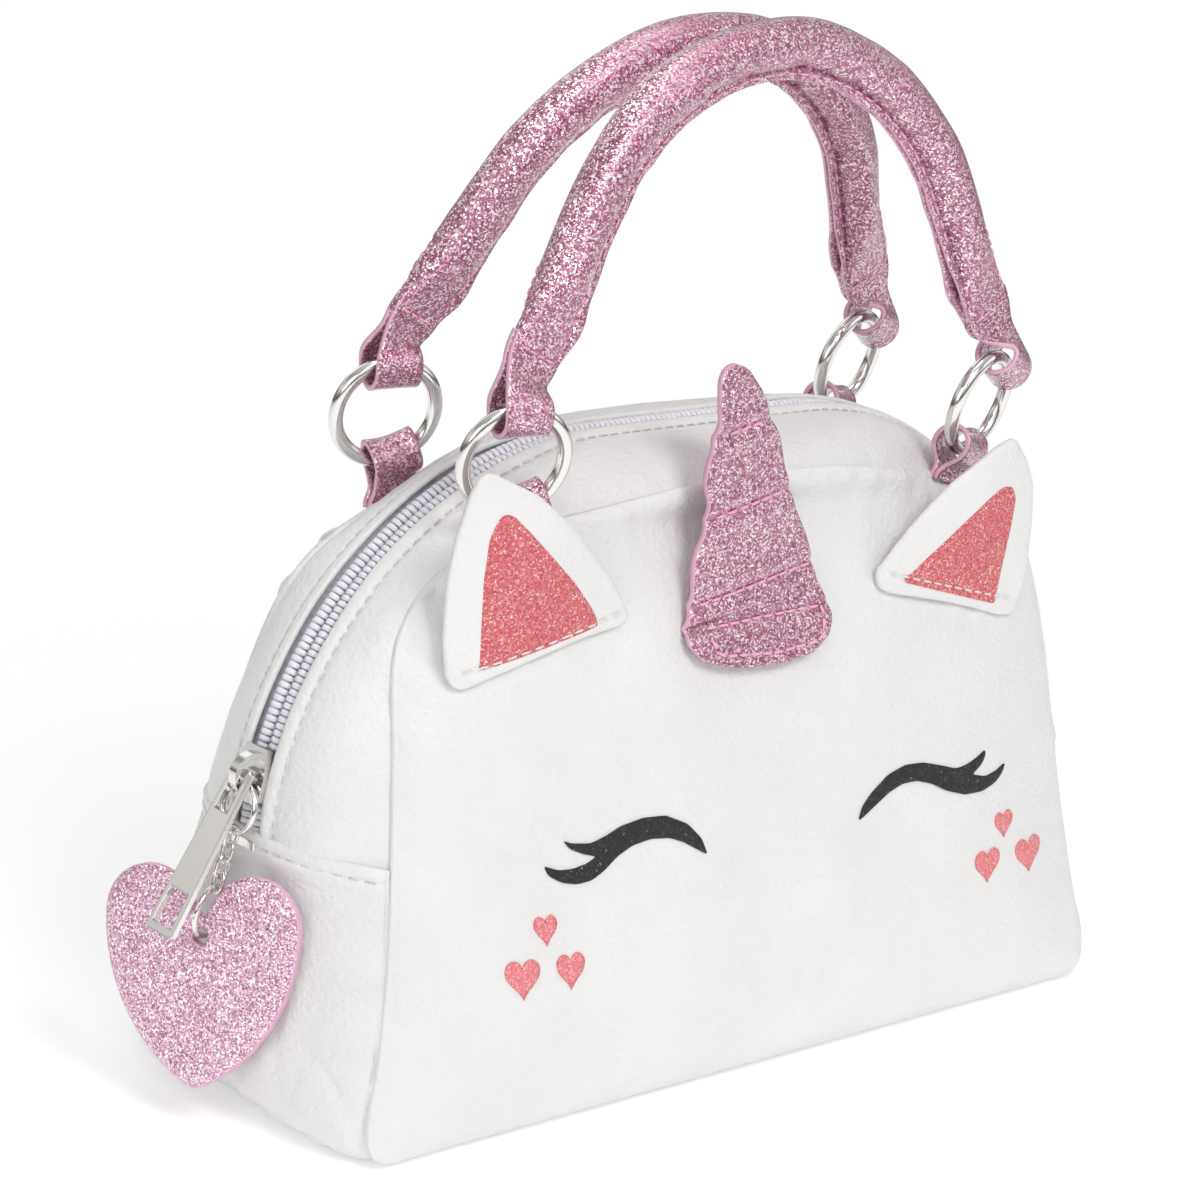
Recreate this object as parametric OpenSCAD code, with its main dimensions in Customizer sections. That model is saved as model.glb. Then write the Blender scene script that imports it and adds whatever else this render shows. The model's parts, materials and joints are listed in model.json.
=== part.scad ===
// Child's dome handbag in white faux leather with glitter handles, ears, horn and a heart charm.
// Millimetres, +Z up, front towards -Y. The origin is the centre of the base, on the ground.

/* [Bag body] */
// Width of the front panel along its bottom seam
base_w = 220; // [190:1:250]
// Height of the panel seam at the crown
seam_h = 135; // [122:1:150]
// Depth of the bag from panel seam to panel seam at the base
base_d = 88; // [78:1:100]
// How far the side gusset swells past the panel seams
gusset_swell = 12.5; // [8:0.5:16]
// How far each panel swells past its seams
panel_swell = 11; // [7:0.5:14]
// Rise of the zip line above the panel seam at the crown
crown_rise = 6; // [4:0.5:9]
// Thickness of the faux leather
leather_t = 1.4; // [1:0.1:1.8]
// Height of the panel seams above the ground
foot_rise = 1.8; // [1:0.1:3]

/* [Lining and base board] */
// Thickness of the lining cloth
lining_t = 0.4; // [0.3:0.1:0.7]
// Loose space between the leather and the lining
lining_gap = 3; // [2.8:0.1:4]
// Length of the base board
board_l = 186; // [150:1:200]
// Width of the base board
board_w = 66; // [50:1:70]
// Thickness of the base board
board_t = 1.2; // [0.8:0.1:2]

/* [Zip] */
// Radius of the zip's arcs over the shoulders
zip_r = 84.11; // [78:0.5:90]
// Width of the opening between the two zip strips
zip_gap = 10.4; // [10:0.1:13]
// Width of each zip tape
tape_w = 8.8; // [8.4:0.1:10]
// Thickness of the zip tape
tape_t = 0.6; // [0.4:0.1:0.8]
// Width of the closed coils together
coil_w = 6; // [5.2:0.1:7]
// Height of a coil tooth above the tape
coil_h = 2.3; // [1.8:0.1:2.6]
// Thickness of a coil tooth along the zip
tooth_t = 1.1; // [0.8:0.1:1.4]
// Spacing of the teeth along one coil
tooth_pitch = 3; // [2.6:0.1:4]
// Slit along the middle of the coils, where the slider's post runs
coil_slit = 1.5; // [1.3:0.1:1.8]

/* [Zip slider and puller] */
// Length of the slider along the zip
slider_l = 12; // [10:0.5:14]
// Width of the slider
slider_w = 9; // [8.4:0.1:9.4]
// Thickness of the slider's plates
slider_plate_t = 1.1; // [0.9:0.1:1.3]
// Angle of the slider up its arc when the zip is shut
slider_rest_angle = 12; // [8:1:20]
// Height of the bridge's opening above the slider
bridge_room = 3.4; // [2.8:0.1:4.2]
// Thickness of the bridge's metal
bridge_t = 1.3; // [1:0.1:1.5]
// Width of the bridge across the zip
bridge_w = 2.4; // [2:0.1:3]
// Length of the puller
puller_l = 38; // [30:1:46]
// Width of the puller
puller_w = 9.4; // [9:0.1:10]
// Thickness of the puller
puller_t = 1.5; // [1.2:0.1:1.8]
// Length of the window at each end of the puller
puller_window = 8; // [6:0.5:10]
// Width of metal left beside the puller's windows
puller_rim = 1.8; // [1.4:0.1:2.2]
// Angle of the puller out from the vertical when it hangs
puller_rest_angle = 30; // [26:1:34]

/* [Charm] */
// Width of the heart
heart_w = 47; // [42:1:50]
// Height of the heart from its tip to the notch
heart_h = 35.5; // [32:0.5:40]
// Thickness of each ply of the heart
heart_ply = 1.3; // [1:0.1:1.6]
// Outer diameter of the upper jump ring
ring_top_d = 12; // [10:0.5:13]
// Outer diameter of the lower jump ring
ring_low_d = 12; // [10:0.5:13]
// Wire of the jump rings
jump_wire = 1.3; // [1.1:0.1:1.5]
// How far the heart's hole hangs outside the widest part of the gusset
charm_stand = 4.9; // [4.4:0.1:8]
// Outer length of a chain link
link_l = 5.4; // [5.2:0.1:5.8]
// Outer width of a chain link
link_w = 4; // [3.9:0.1:4.4]
// Wire of the chain links
link_wire = 0.9; // [0.8:0.1:1]

/* [Rings and tabs] */
// Outer diameter of the handle rings
ring_d = 26; // [24:0.5:28]
// Wire of the handle rings
ring_wire = 3.2; // [2.8:0.1:3.4]
// Distance of each tab from the middle of the bag
tab_x = 66; // [60:1:70]
// Width of the tabs and of the handle's eyes
strap_w = 9.5; // [9:0.5:10]
// Thickness of the folded strap at the tabs and eyes
strap_t = 1.2; // [1:0.1:1.4]

/* [Handles] */
// Diameter of the rolled handle
handle_d = 11; // [9:0.5:12.5]
// Radius of the handle's bend over the top
handle_r = 59; // [53:0.5:60]
// Angle of the handle's legs out from the vertical
handle_splay_angle = 26.9; // [24:0.1:29]
// Thickness of the handle's glitter cover
cover_t = 1.2; // [1:0.1:1.5]
// Height of the stitched edge along the inside of the handle
edge_h = 2.4; // [1.5:0.1:3]
// Thickness of the stitched edge
edge_t = 3; // [2.4:0.1:3.6]
// Length of the flat end above each ring
flat_l = 15; // [12:1:18]
// Angle of the front handle's lean towards the middle
front_lean_angle = 5; // [3:1:6]
// Angle of the back handle's lean towards the middle
back_lean_angle = 14; // [12:1:15]

/* [Ears, horn and prints] */
// Thickness of an ear
ear_t = 2; // [1.4:0.1:2.4]
// Height of an ear above its sewn edge
ear_h = 40; // [34:1:42]
// Thickness of the glitter patch in an ear
glitter_t = 0.5; // [0.3:0.1:0.8]
// Thickness of the horn
horn_t = 1.8; // [1.4:0.1:2.4]
// Height of the horn
horn_h = 69; // [60:1:72]
// Width of the horn near its foot
horn_w = 40; // [34:1:44]
// Thickness of the printed film of the lashes and cheek hearts
film_t = 0.3; // [0.2:0.05:0.4]
// Width of the largest cheek heart
cheek_w = 7.6; // [6:0.1:9]
// Length of a closed lash from its inner end to its tips
lash_l = 47; // [42:1:50]

/* [Hidden] */

// Gap between sewn edges, and between soft pieces that lie on each other
seam_gap = 0.35;
// Gap between pieces that move on each other
run_gap = 0.3;
// Overrun of every cut
over = 1;
leather_colour = [0.95, 0.94, 0.93];
glitter_colour = [0.78, 0.55, 0.66];
coral_colour = [0.91, 0.45, 0.45];
metal_colour = [0.78, 0.78, 0.78];
zip_colour = [0.95, 0.94, 0.97];

// Half outline of a panel seam from the bottom corner to the crown, as shares of half the width and
// of the crown's height, then the seam's half depth as a share of the base's, then the side gusset's
// swell as a share of its greatest
outline_shares = [
    [0.955, 0.000, 1.00, 0.15], [0.984, 0.013, 0.99, 0.28], [0.996, 0.042, 0.98, 0.48],
    [0.990, 0.092, 0.96, 0.78], [0.965, 0.165, 0.92, 0.96], [0.933, 0.315, 0.83, 1.00],
    [0.913, 0.455, 0.74, 1.00], [0.894, 0.619, 0.63, 0.92], [0.866, 0.765, 0.50, 0.45],
    [0.800, 0.850, 0.45, 0.27], [0.695, 0.903, 0.43, 0.22], [0.580, 0.933, 0.45, 0.35],
    [0.371, 0.967, 0.55, 0.50], [0.185, 0.991, 0.61, 0.54], [0.000, 1.000, 0.627, 0.56]];
// Width of the horn on each side of its axis, from the foot to the tip, as shares of its half width
horn_left_shares = [0.86, 1.00, 0.97, 0.83, 0.86, 0.70, 0.66, 0.64, 0.52, 0.50, 0.44, 0.33, 0.16];
horn_right_shares = [0.72, 1.00, 1.02, 0.90, 0.84, 0.80, 0.70, 0.62, 0.60, 0.50, 0.38, 0.30, 0.16];
// Places of the cheek hearts' middles, across and up, and their widths, as shares of the sizes
cheek_shares = [[0.640, 0.352, 0.62], [0.716, 0.292, 1.00], [0.588, 0.285, 0.86]];
// Middle line of a closed lash from its inner end outwards, across and up, and its half thickness,
// as shares of the lash's length, then its upper and lower tips
lash_shares = [[0, 0, 0.012], [0.06, 0.10, 0.045], [0.16, 0.20, 0.065], [0.30, 0.27, 0.075],
    [0.45, 0.26, 0.075], [0.60, 0.19, 0.070], [0.74, 0.11, 0.060]];
lash_low_shares = [[0.74, 0.11, 0.060], [0.84, 0.055, 0.045], [0.93, 0.040, 0.025], [1.0, 0.05, 0.006]];
lash_up_shares = [[0.70, 0.14, 0.040], [0.78, 0.145, 0.035], [0.86, 0.165, 0.022], [0.92, 0.20, 0.006]];
// Inner end of each lash, as shares of half the base's width and of the crown's height
lash_place_shares = [0.205, 0.412];

half_w = base_w / 2;
half_d = base_d / 2;

function unit(v) = v / max(norm(v), 1e-9);
function mix(a, b, t) = a + (b - a) * t;

// Fine points of the half outline: a smooth curve through the shares
function spline(list, i, t) =
    let (a = list[max(i - 1, 0)], b = list[i], c = list[i + 1], d = list[min(i + 2, len(list) - 1)])
    0.5 * ((2 * b) + (c - a) * t + (2 * a - 5 * b + 4 * c - d) * t * t
        + (3 * b - a - 3 * c + d) * t * t * t);
outline_steps = 6;
outline_raw = [for (i = [0:len(outline_shares) - 2]) for (k = [0:outline_steps - 1])
    spline(outline_shares, i, k / outline_steps)];
outline = [for (p = concat(outline_raw, [outline_shares[len(outline_shares) - 1]]))
    [max(p[0], 0) * half_w, p[1] * seam_h + foot_rise * (1 - p[1]), p[2] * half_d, p[3] * gusset_swell]];
function run_lengths(list, i = 0, total = 0) = i >= len(list) ? [] :
    let (step = i == 0 ? 0 : norm([list[i][0] - list[i - 1][0], list[i][1] - list[i - 1][1]]))
    concat([total + step], run_lengths(list, i + 1, total + step));
outline_len = run_lengths(outline);
crown_len = outline_len[len(outline) - 1];
function table(k) = [for (i = [0:len(outline) - 1]) [outline_len[i], outline[i][k]]];
x_table = table(0);
z_table = table(1);
depth_table = table(2);
swell_table = table(3);
len_by_z = [for (i = [0:len(outline) - 1]) [outline[i][1], outline_len[i]]];

// Point of the front seam at a signed length: 0 is the crown, negative is the left side
function seam_point(s) = let (l = crown_len - abs(s))
    [sign(s) * lookup(l, x_table), -lookup(l, depth_table), lookup(l, z_table)];
seam_probe = leather_t;
function seam_out(s) = let (a = seam_point(s - seam_probe), b = seam_point(s + seam_probe))
    unit([-(b[2] - a[2]), 0, b[0] - a[0]]);

// Depth of the front panel at a place seen from the front
seam_top = outline[len(outline) - 1][1];
seam_low = outline[0][1];
panel_edge_power = 5;
panel_rise_power = 4;
function panel_y(x, z) =
    let (zc = min(max(z, seam_low), seam_top), l = lookup(zc, len_by_z), edge = max(lookup(l, x_table), 1),
        across = min(abs(x) / edge, 1), up = abs(2 * (zc - seam_low) / (seam_top - seam_low) - 1))
    -(lookup(l, depth_table)
        + panel_swell * (1 - pow(across, panel_edge_power)) * (1 - pow(up, panel_rise_power)));

// Sheet of a given thickness under a grid of points. The grid's outer side has its normals where
// the rows run up and the columns run to the right, seen from outside.
function grid_normal(g, i, j) =
    let (n = len(g) - 1, m = len(g[0]) - 1,
        du = g[i][min(j + 1, m)] - g[i][max(j - 1, 0)], dv = g[min(i + 1, n)][j] - g[max(i - 1, 0)][j])
    unit(cross(du, dv));
module sheet(g, t, lift = 0) {
    n = len(g);
    m = len(g[0]);
    top = [for (i = [0:n - 1]) for (j = [0:m - 1]) g[i][j] + grid_normal(g, i, j) * lift];
    low = [for (i = [0:n - 1]) for (j = [0:m - 1]) g[i][j] + grid_normal(g, i, j) * (lift - t)];
    c = n * m;
    faces = concat(
        [for (i = [0:n - 2]) for (j = [0:m - 2]) let (a = i * m + j) each
            [[a, a + m, a + m + 1], [a, a + m + 1, a + 1]]],
        [for (i = [0:n - 2]) for (j = [0:m - 2]) let (a = c + i * m + j) each
            [[a, a + m + 1, a + m], [a, a + 1, a + m + 1]]],
        [for (i = [0:n - 2]) let (a = i * m, b = a + m) each [[a, a + c, b + c], [a, b + c, b]]],
        [for (i = [0:n - 2]) let (a = i * m + m - 1, b = a + m) each [[a, b + c, a + c], [a, b, b + c]]],
        [for (j = [0:m - 2]) let (a = j, b = j + 1) each [[a, b + c, a + c], [a, b, b + c]]],
        [for (j = [0:m - 2]) let (a = (n - 1) * m + j, b = a + 1) each [[a, a + c, b + c], [a, b + c, b]]]);
    polyhedron(points = concat(top, low), faces = faces, convexity = 8);
}

// Panels. The outline's corner at the shoulder splits its side from its top.
shoulder_share = 0.85;
shoulder_len = lookup(seam_h * shoulder_share + foot_rise * (1 - shoulder_share), len_by_z);
panel_cols = 22;
panel_rows = 14;
function panel_plan(u, v) =
    let (side_x = lookup(v * shoulder_len, x_table), side_z = lookup(v * shoulder_len, z_table),
        top_s = (crown_len - shoulder_len) * (2 * u - 1), top = seam_point(top_s),
        low_x = mix(-outline[0][0], outline[0][0], u), corner_x = lookup(shoulder_len, x_table),
        corner_z = lookup(shoulder_len, z_table), corner_low = outline[0][0])
    [mix(-side_x, side_x, u) + mix(low_x, top[0], v)
            - mix(mix(-corner_low, corner_low, u), mix(-corner_x, corner_x, u), v),
        side_z + mix(seam_low, top[2], v) - mix(seam_low, corner_z, v)];
function panel_grid(inset, cols, rows) = [for (i = [0:rows]) [for (j = [0:cols])
    let (p = panel_plan(mix(inset, 1 - inset, j / cols), mix(inset, 1 - inset, i / rows)))
    [p[0], panel_y(p[0], p[1]), p[1]]]];
module panel() {
    sheet(panel_grid(0, panel_cols, panel_rows), leather_t);
}
module front_panel() {
    color(leather_colour) panel();
}
module back_panel() {
    color(leather_colour) mirror([0, 1, 0]) panel();
}

// Zip line: two arcs and a straight run over the crown, in the plane y = 0
zip_side_share = 0.911;
zip_reach = half_w * zip_side_share + gusset_swell + leather_t;
zip_top = seam_h + crown_rise;
zip_arc_x = zip_reach - zip_r;
zip_flat = 2 * zip_arc_x;
zip_arc_z = zip_top - zip_r;
zip_arc_len = zip_r * 90 * PI / 180;
zip_len = 2 * zip_arc_len + zip_flat;
// Point of the zip line at a share of its run from left to right, and the way out from the bag there
function zip_state(f) =
    let (l = f * zip_len)
    l < zip_arc_len ? let (a = l / zip_r * 180 / PI)
        [[-zip_arc_x - zip_r * cos(a), 0, zip_arc_z + zip_r * sin(a)], [-cos(a), 0, sin(a)]]
    : l <= zip_arc_len + zip_flat
        ? [[-zip_arc_x + l - zip_arc_len, 0, zip_top], [0, 0, 1]]
        : let (a = (zip_len - l) / zip_r * 180 / PI)
            [[zip_arc_x + zip_r * cos(a), 0, zip_arc_z + zip_r * sin(a)], [cos(a), 0, sin(a)]];

// Zip strips, from the front seam up to the edge beside the zip
strip_end_len = lookup(zip_arc_z, len_by_z);
strip_half = crown_len - strip_end_len;
strip_cols = 44;
strip_rows = 5;
strip_power = 2.6;
// Share of the strip's run that is left free at each of its ends
strip_end_share = 0.002;
function strip_point(f, w, edge) =
    let (s = (2 * f - 1) * strip_half, p = seam_point(s), q = zip_state(f)[0],
        rise = 1 - pow(w, strip_power), depth = -p[1] - leather_t - seam_gap)
    [mix(p[0], q[0], rise), -mix(edge, depth, w), mix(p[2], q[2], rise)];
function strip_grid(cols, rows, edge, low, high) = [for (i = [0:rows]) [for (j = [0:cols])
    strip_point(mix(strip_end_share, 1 - strip_end_share, j / cols), mix(high, low, i / rows), edge)]];
module zip_strip() {
    sheet(strip_grid(strip_cols, strip_rows, zip_gap / 2, 0, 1), leather_t);
}
module zip_strip_front() {
    color(leather_colour) zip_strip();
}
module zip_strip_back() {
    color(leather_colour) mirror([0, 1, 0]) zip_strip();
}

// Side and base gusset: one long strip round both sides and under the base
gusset_side_cols = 15;
gusset_base_cols = 8;
gusset_rows = 10;
gusset_side_power = 2.2;
gusset_base_power = 7;
// Shares of the gusset's run from the base's middle to the zip that lie under the base, and of the
// crown's height over which the flat base turns up into the side
base_run_share = 0.36;
turn_up_share = 0.12;
junction_gap = 0.8;
function gusset_swell_at(l) = let (end = zip_reach - lookup(strip_end_len, x_table))
    mix(lookup(l, swell_table), end, pow(min(l / strip_end_len, 1), 3));
// A section of the gusset: t from -1, the left zip end, through 0, the middle of the base, to 1
corner_x = outline[0][0];
function gusset_section(t) =
    let (split = base_run_share, side = abs(t) > split,
        l = side ? (abs(t) - split) / (1 - split) * (strip_end_len - junction_gap) : 0,
        p = side ? seam_point(-(crown_len - l)) : [-corner_x * abs(t) / split, -half_d, seam_low],
        out = side ? seam_out(-(crown_len - l)) : [0, 0, -1],
        swell = side ? gusset_swell_at(l) : seam_low,
        blend = side ? min(l / (seam_h * turn_up_share), 1) : 0,
        way = unit(mix([0, 0, -1], out, blend)),
        q = p + way * swell)
    [p, [q[0], 0, max(q[2], 0)], mix(gusset_base_power, gusset_side_power, blend)];
function gusset_point(t, w, shrink) =
    let (s = gusset_section(t), rise = 1 - pow(abs(w), s[2]), depth = -s[0][1] - shrink,
        x = mix(s[0][0], s[1][0], rise), z = mix(s[0][2], s[1][2], rise))
    [t < 0 ? x : -x, w * depth, z];
function gusset_stops(side, base) = concat(
    [for (k = [0:side - 1]) -1 + (1 - base_run_share) * k / side],
    [for (k = [0:base * 2]) base_run_share * (k / base - 1)],
    [for (k = [1:side]) base_run_share + (1 - base_run_share) * k / side]);
function gusset_grid(side, base, rows, shrink) = [for (i = [0:rows])
    [for (t = gusset_stops(side, base)) gusset_point(t, 1 - 2 * i / rows, shrink)]];
module side_base_gusset() {
    color(leather_colour)
    sheet(gusset_grid(gusset_side_cols, gusset_base_cols, gusset_rows, leather_t + seam_gap), leather_t);
}

// Lining: a looser bag of cloth inside the leather, sewn in along its top
lining_seam = 4 * seam_gap;
lining_power = 3;
lining_lift = -(leather_t + lining_gap);
lining_inset_share = 0.06;
lining_shrink = leather_t + lining_gap + 3.5 * lining_t;
lining_cols = 14;
lining_rows = 8;
lining_side_cols = 8;
lining_base_cols = 4;
lining_gusset_rows = 6;
lining_strip_cols = 24;
lining_strip_rows = 2;
lining_strip_shares = [0.12, 0.86];
module lining_panel() {
    g = panel_grid(lining_inset_share, lining_cols, lining_rows);
    sheet([for (i = [0:lining_rows])
        let (inwards = leather_t + mix(lining_gap, lining_seam, pow(i / lining_rows, lining_power)))
        [for (p = g[i]) p + [0, inwards, 0]]], lining_t);
}
module lining_front() {
    color("gainsboro") lining_panel();
}
module lining_back() {
    color("gainsboro") mirror([0, 1, 0]) lining_panel();
}
module lining_gusset() {
    color("gainsboro") {
        sheet(gusset_grid(lining_side_cols, lining_base_cols, lining_gusset_rows, lining_shrink),
            lining_t, lining_lift);
        for (side = [0, 1])
            mirror([0, side, 0])
            sheet(strip_grid(lining_strip_cols, lining_strip_rows, tape_w + seam_gap,
                lining_strip_shares[0], lining_strip_shares[1]), lining_t, lining_lift);
    }
}

// Base board, between the leather of the base and the lining
board_corner_share = 0.125;
module base_board() {
    corner = board_w * board_corner_share;
    color("tan")
    translate([0, 0, leather_t + foot_rise / 2])
    linear_extrude(board_t)
    union() {
        square([board_l - 2 * corner, board_w], center = true);
        square([board_l, board_w - 2 * corner], center = true);
        for (x = [-1, 1]) for (y = [-1, 1])
            translate([x * (board_l / 2 - corner), y * (board_w / 2 - corner)]) circle(corner, $fn = 32);
    }
}

// A section swept along the zip line: its x is the way out of the bag, its y the way to the front
module along_zip() {
    for (side = [-1, 1])
        translate([side * zip_arc_x, 0, zip_arc_z])
        rotate([90, 0, 0])
        rotate([0, 0, side < 0 ? 90 : 0])
        rotate_extrude(angle = 90, $fn = 96) translate([zip_r, 0]) children();
    translate([-zip_arc_x, 0, zip_top])
    rotate([90, 0, 90])
    linear_extrude(zip_flat) rotate([0, 0, 90]) children();
}
// Frame on the zip line's left arc, turned up by an angle: x along the zip, z out of the bag
module on_zip(a) {
    translate([-zip_arc_x, 0, zip_arc_z]) rotate([0, a - 90, 0]) translate([0, 0, zip_r]) children();
}
tape_drop = 1.4 * leather_t;
// Height of the coils' underside above the tape's drop, and of the clear cut at the zip's lower ends
coil_lift = 0.1;
coil_cut = 2;
module zip_tape() {
    color(zip_colour)
    difference() {
        along_zip() translate([-tape_drop - tape_t, coil_slit / 2]) square([tape_t, tape_w - coil_slit / 2]);
        below_zip();
    }
}
// Room under the zip's lower ends
module below_zip() {
    translate([-2 * half_w, -2 * tape_w, zip_arc_z - seam_h])
        cube([4 * half_w, 4 * tape_w, seam_h + coil_cut]);
}
module zip_tape_front() {
    zip_tape();
}
module zip_tape_back() {
    mirror([0, 1, 0]) zip_tape();
}
// One coil: teeth standing on the tape, joined by the thread along their outer ends
tooth_l = (coil_w - coil_slit) / 2;
thread_w = tooth_l / 3;
thread_h = coil_h / 2;
module zip_coil(shift) {
    color(zip_colour)
    difference() {
        union() {
            along_zip()
            translate([coil_lift - tape_drop, coil_w / 2 - thread_w]) square([thread_h, thread_w]);
            coil_teeth(shift);
        }
        below_zip();
    }
}
module coil_teeth(shift) {
    for (l = [tooth_pitch * (1.5 + shift):tooth_pitch:zip_len - tooth_pitch])
        let (s = zip_state(l / zip_len))
        translate(s[0])
        rotate([0, atan2(s[1][0], s[1][2]), 0])
        translate([-tooth_t / 2, -coil_w / 2, coil_lift - tape_drop]) cube([tooth_t, tooth_l, coil_h]);
}
module zip_coil_front() {
    zip_coil(0);
}
module zip_coil_back() {
    mirror([0, 1, 0]) zip_coil(0.5);
}
// Metal stop over the coils at each end of the zip, a small angle up its arc
stop_angle = 2;
stop_l = 2;
stop_t = 0.6;
stop_side = 0.25;
module zip_stops() {
    color(metal_colour)
    for (side = [0, 1])
        mirror([side, 0, 0])
        on_zip(stop_angle)
        difference() {
            translate([-stop_l / 2, -coil_w / 2 - stop_t - stop_side, -tape_drop + seam_gap / 2])
                cube([stop_l, coil_w + 2 * (stop_t + stop_side), coil_h + stop_t]);
            translate([-stop_l / 2 - over, -coil_w / 2 - stop_side, -tape_drop - over])
                cube([stop_l + 2 * over, coil_w + 2 * stop_side, coil_h + over + seam_gap / 2]);
        }
}

// Slider: two plates over and under the coils, a post between them, side flanges and the bridge
coil_top = coil_h + coil_lift - tape_drop;
slider_room = 0.45;
slider_top_z = coil_top + slider_room;
slider_low_z = -tape_drop - tape_t - slider_room;
flange_t = 1;
slider_tail_share = 0.8;
post_l = 3;
post_w = coil_slit - 2 * run_gap;
bridge_z = slider_top_z + slider_plate_t;
module slider_plan() {
    tail = slider_w * slider_tail_share;
    polygon([[-slider_l / 2 + flange_t, -slider_w / 2], [-slider_l / 2, -slider_w / 2 + flange_t],
        [-slider_l / 2, slider_w / 2 - flange_t], [-slider_l / 2 + flange_t, slider_w / 2],
        [0, slider_w / 2], [slider_l / 2, tail / 2], [slider_l / 2, -tail / 2], [0, -slider_w / 2]]);
}
module zip_slider() {
    color(metal_colour)
    on_zip(slider_rest_angle) {
        translate([0, 0, slider_low_z - slider_plate_t]) linear_extrude(slider_plate_t) slider_plan();
        difference() {
            translate([0, 0, slider_room - tape_drop])
                linear_extrude(slider_top_z + slider_plate_t - slider_room + tape_drop) slider_plan();
            translate([-slider_l / 2 - over, -coil_w / 2 - slider_room, -tape_drop - over])
                cube([slider_l + 2 * over, coil_w + 2 * slider_room, coil_h + slider_room + over]);
        }
        translate([-slider_l / 2 + flange_t, -post_w / 2, slider_low_z - slider_plate_t / 2])
            cube([post_l, post_w, slider_top_z - slider_low_z + slider_plate_t]);
        translate([0, bridge_w / 2, bridge_z])
        rotate([90, 0, 0])
        linear_extrude(bridge_w)
        difference() {
            union() {
                circle(bridge_room + bridge_t, $fn = 48);
                translate([0, -slider_plate_t / 4])
                    square([2 * (bridge_room + bridge_t), slider_plate_t / 2], center = true);
            }
            circle(bridge_room, $fn = 48);
            translate([-slider_l, -slider_l - slider_plate_t / 2]) square([2 * slider_l, slider_l]);
        }
    }
}

// Puller: a flat bar with a window at each end, its upper rim inside the bridge
puller_pivot_z = bridge_z + bridge_room - norm([puller_rim, puller_t]) / 2 - run_gap;
puller_top_share = 0.68;
puller_rail = 1.3;
puller_corner = 0.7;
puller_end = puller_l - puller_rim / 2;
function puller_half(l) = mix(puller_top_share, 1, (l + puller_rim / 2) / puller_l) * puller_w / 2;
module puller_window_plan(from, to) {
    polygon([[-puller_half(from) + puller_rail, -from], [puller_half(from) - puller_rail, -from],
        [puller_half(to) - puller_rail, -to], [-puller_half(to) + puller_rail, -to]]);
}
module puller_plan() {
    top = puller_rim / 2;
    difference() {
        polygon([[-puller_half(-top) + puller_corner, top], [puller_half(-top) - puller_corner, top],
            [puller_half(0), top - puller_corner], [puller_half(puller_end), puller_corner - puller_end],
            [puller_half(puller_end) - puller_corner, -puller_end],
            [-puller_half(puller_end) + puller_corner, -puller_end],
            [-puller_half(puller_end), puller_corner - puller_end], [-puller_half(0), top - puller_corner]]);
        puller_window_plan(top, top + puller_window);
        puller_window_plan(puller_end - puller_rim - puller_window, puller_end - puller_rim);
    }
}
slider_point = [-zip_arc_x - zip_r * cos(slider_rest_angle), 0, zip_arc_z + zip_r * sin(slider_rest_angle)];
slider_out = [-cos(slider_rest_angle), 0, sin(slider_rest_angle)];
slider_along = [sin(slider_rest_angle), 0, cos(slider_rest_angle)];
puller_pivot = slider_point + slider_out * puller_pivot_z;
module zip_puller() {
    color(metal_colour)
    translate(puller_pivot)
    rotate([0, puller_rest_angle, 0])
    rotate([90, 0, 90])
    translate([0, 0, -puller_t / 2]) linear_extrude(puller_t) puller_plan();
}

// Charm: a jump ring on the bridge's lower leg, a chain of links, a jump ring and the heart. The
// chain hangs straight, at the slope that holds the heart's hole clear of the gusset.
chain_gap = 0.2;
links = 4;
module wire_ring(d, wire) {
    rotate_extrude($fn = 48) translate([(d - wire) / 2, 0]) circle(wire / 2, $fn = 16);
}
// A link in the xz plane, its upper wire's middle at the origin
module wire_link() {
    bend = (link_w - link_wire) / 2;
    run = link_l - link_w;
    translate([0, 0, -bend])
    rotate([90, 0, 0]) {
        rotate_extrude(angle = 180, $fn = 32) translate([bend, 0]) circle(link_wire / 2, $fn = 16);
        translate([0, -run])
        rotate([0, 0, 180])
            rotate_extrude(angle = 180, $fn = 32) translate([bend, 0]) circle(link_wire / 2, $fn = 16);
        for (x = [-bend, bend])
            translate([x, -run, 0]) rotate([-90, 0, 0]) cylinder(h = run, d = link_wire, $fn = 16);
    }
}
ring_top_z = bridge_z + jump_wire / 2 + run_gap;
ring_top_x = -bridge_room + jump_wire / 2 + 2.5 * run_gap - (ring_top_d - jump_wire) / 2;
ring_top_at = slider_point + slider_out * ring_top_z + slider_along * ring_top_x;
chain_from = ring_top_at - slider_along * (ring_top_d - jump_wire) / 2;
link_step = link_l - 2 * link_wire - chain_gap;
link_drop = [for (i = [0:links]) (jump_wire + link_wire) / 2 + chain_gap - i * link_step];
ring_low_drop = link_drop[links - 1] - (link_l - link_wire) + (jump_wire + link_wire) / 2 + chain_gap;
heart_turn_angle = -68;
heart_roll_angle = -7;
heart_pitch_angle = -10;
heart_drop = ring_low_drop - (ring_low_d - jump_wire);
gusset_belly = max([for (p = outline) p[0] + p[3]]);
chain_angle = asin(-(gusset_belly + charm_stand + chain_from[0]) / heart_drop);
function chain_way(z) = chain_from + z * [sin(chain_angle), 0, cos(chain_angle)];
module on_chain(z) {
    translate(chain_way(z)) rotate([0, chain_angle, 0]) children();
}
module charm_ring_top() {
    color(metal_colour)
    translate(ring_top_at) rotate([0, slider_rest_angle - 90, 0]) wire_ring(ring_top_d, jump_wire);
}
module chain_link(i) {
    color(metal_colour) on_chain(link_drop[i - 1]) rotate([0, 0, i % 2 == 1 ? 0 : 90]) wire_link();
}
module chain_link_1() {
    chain_link(1);
}
module chain_link_2() {
    chain_link(2);
}
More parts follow.
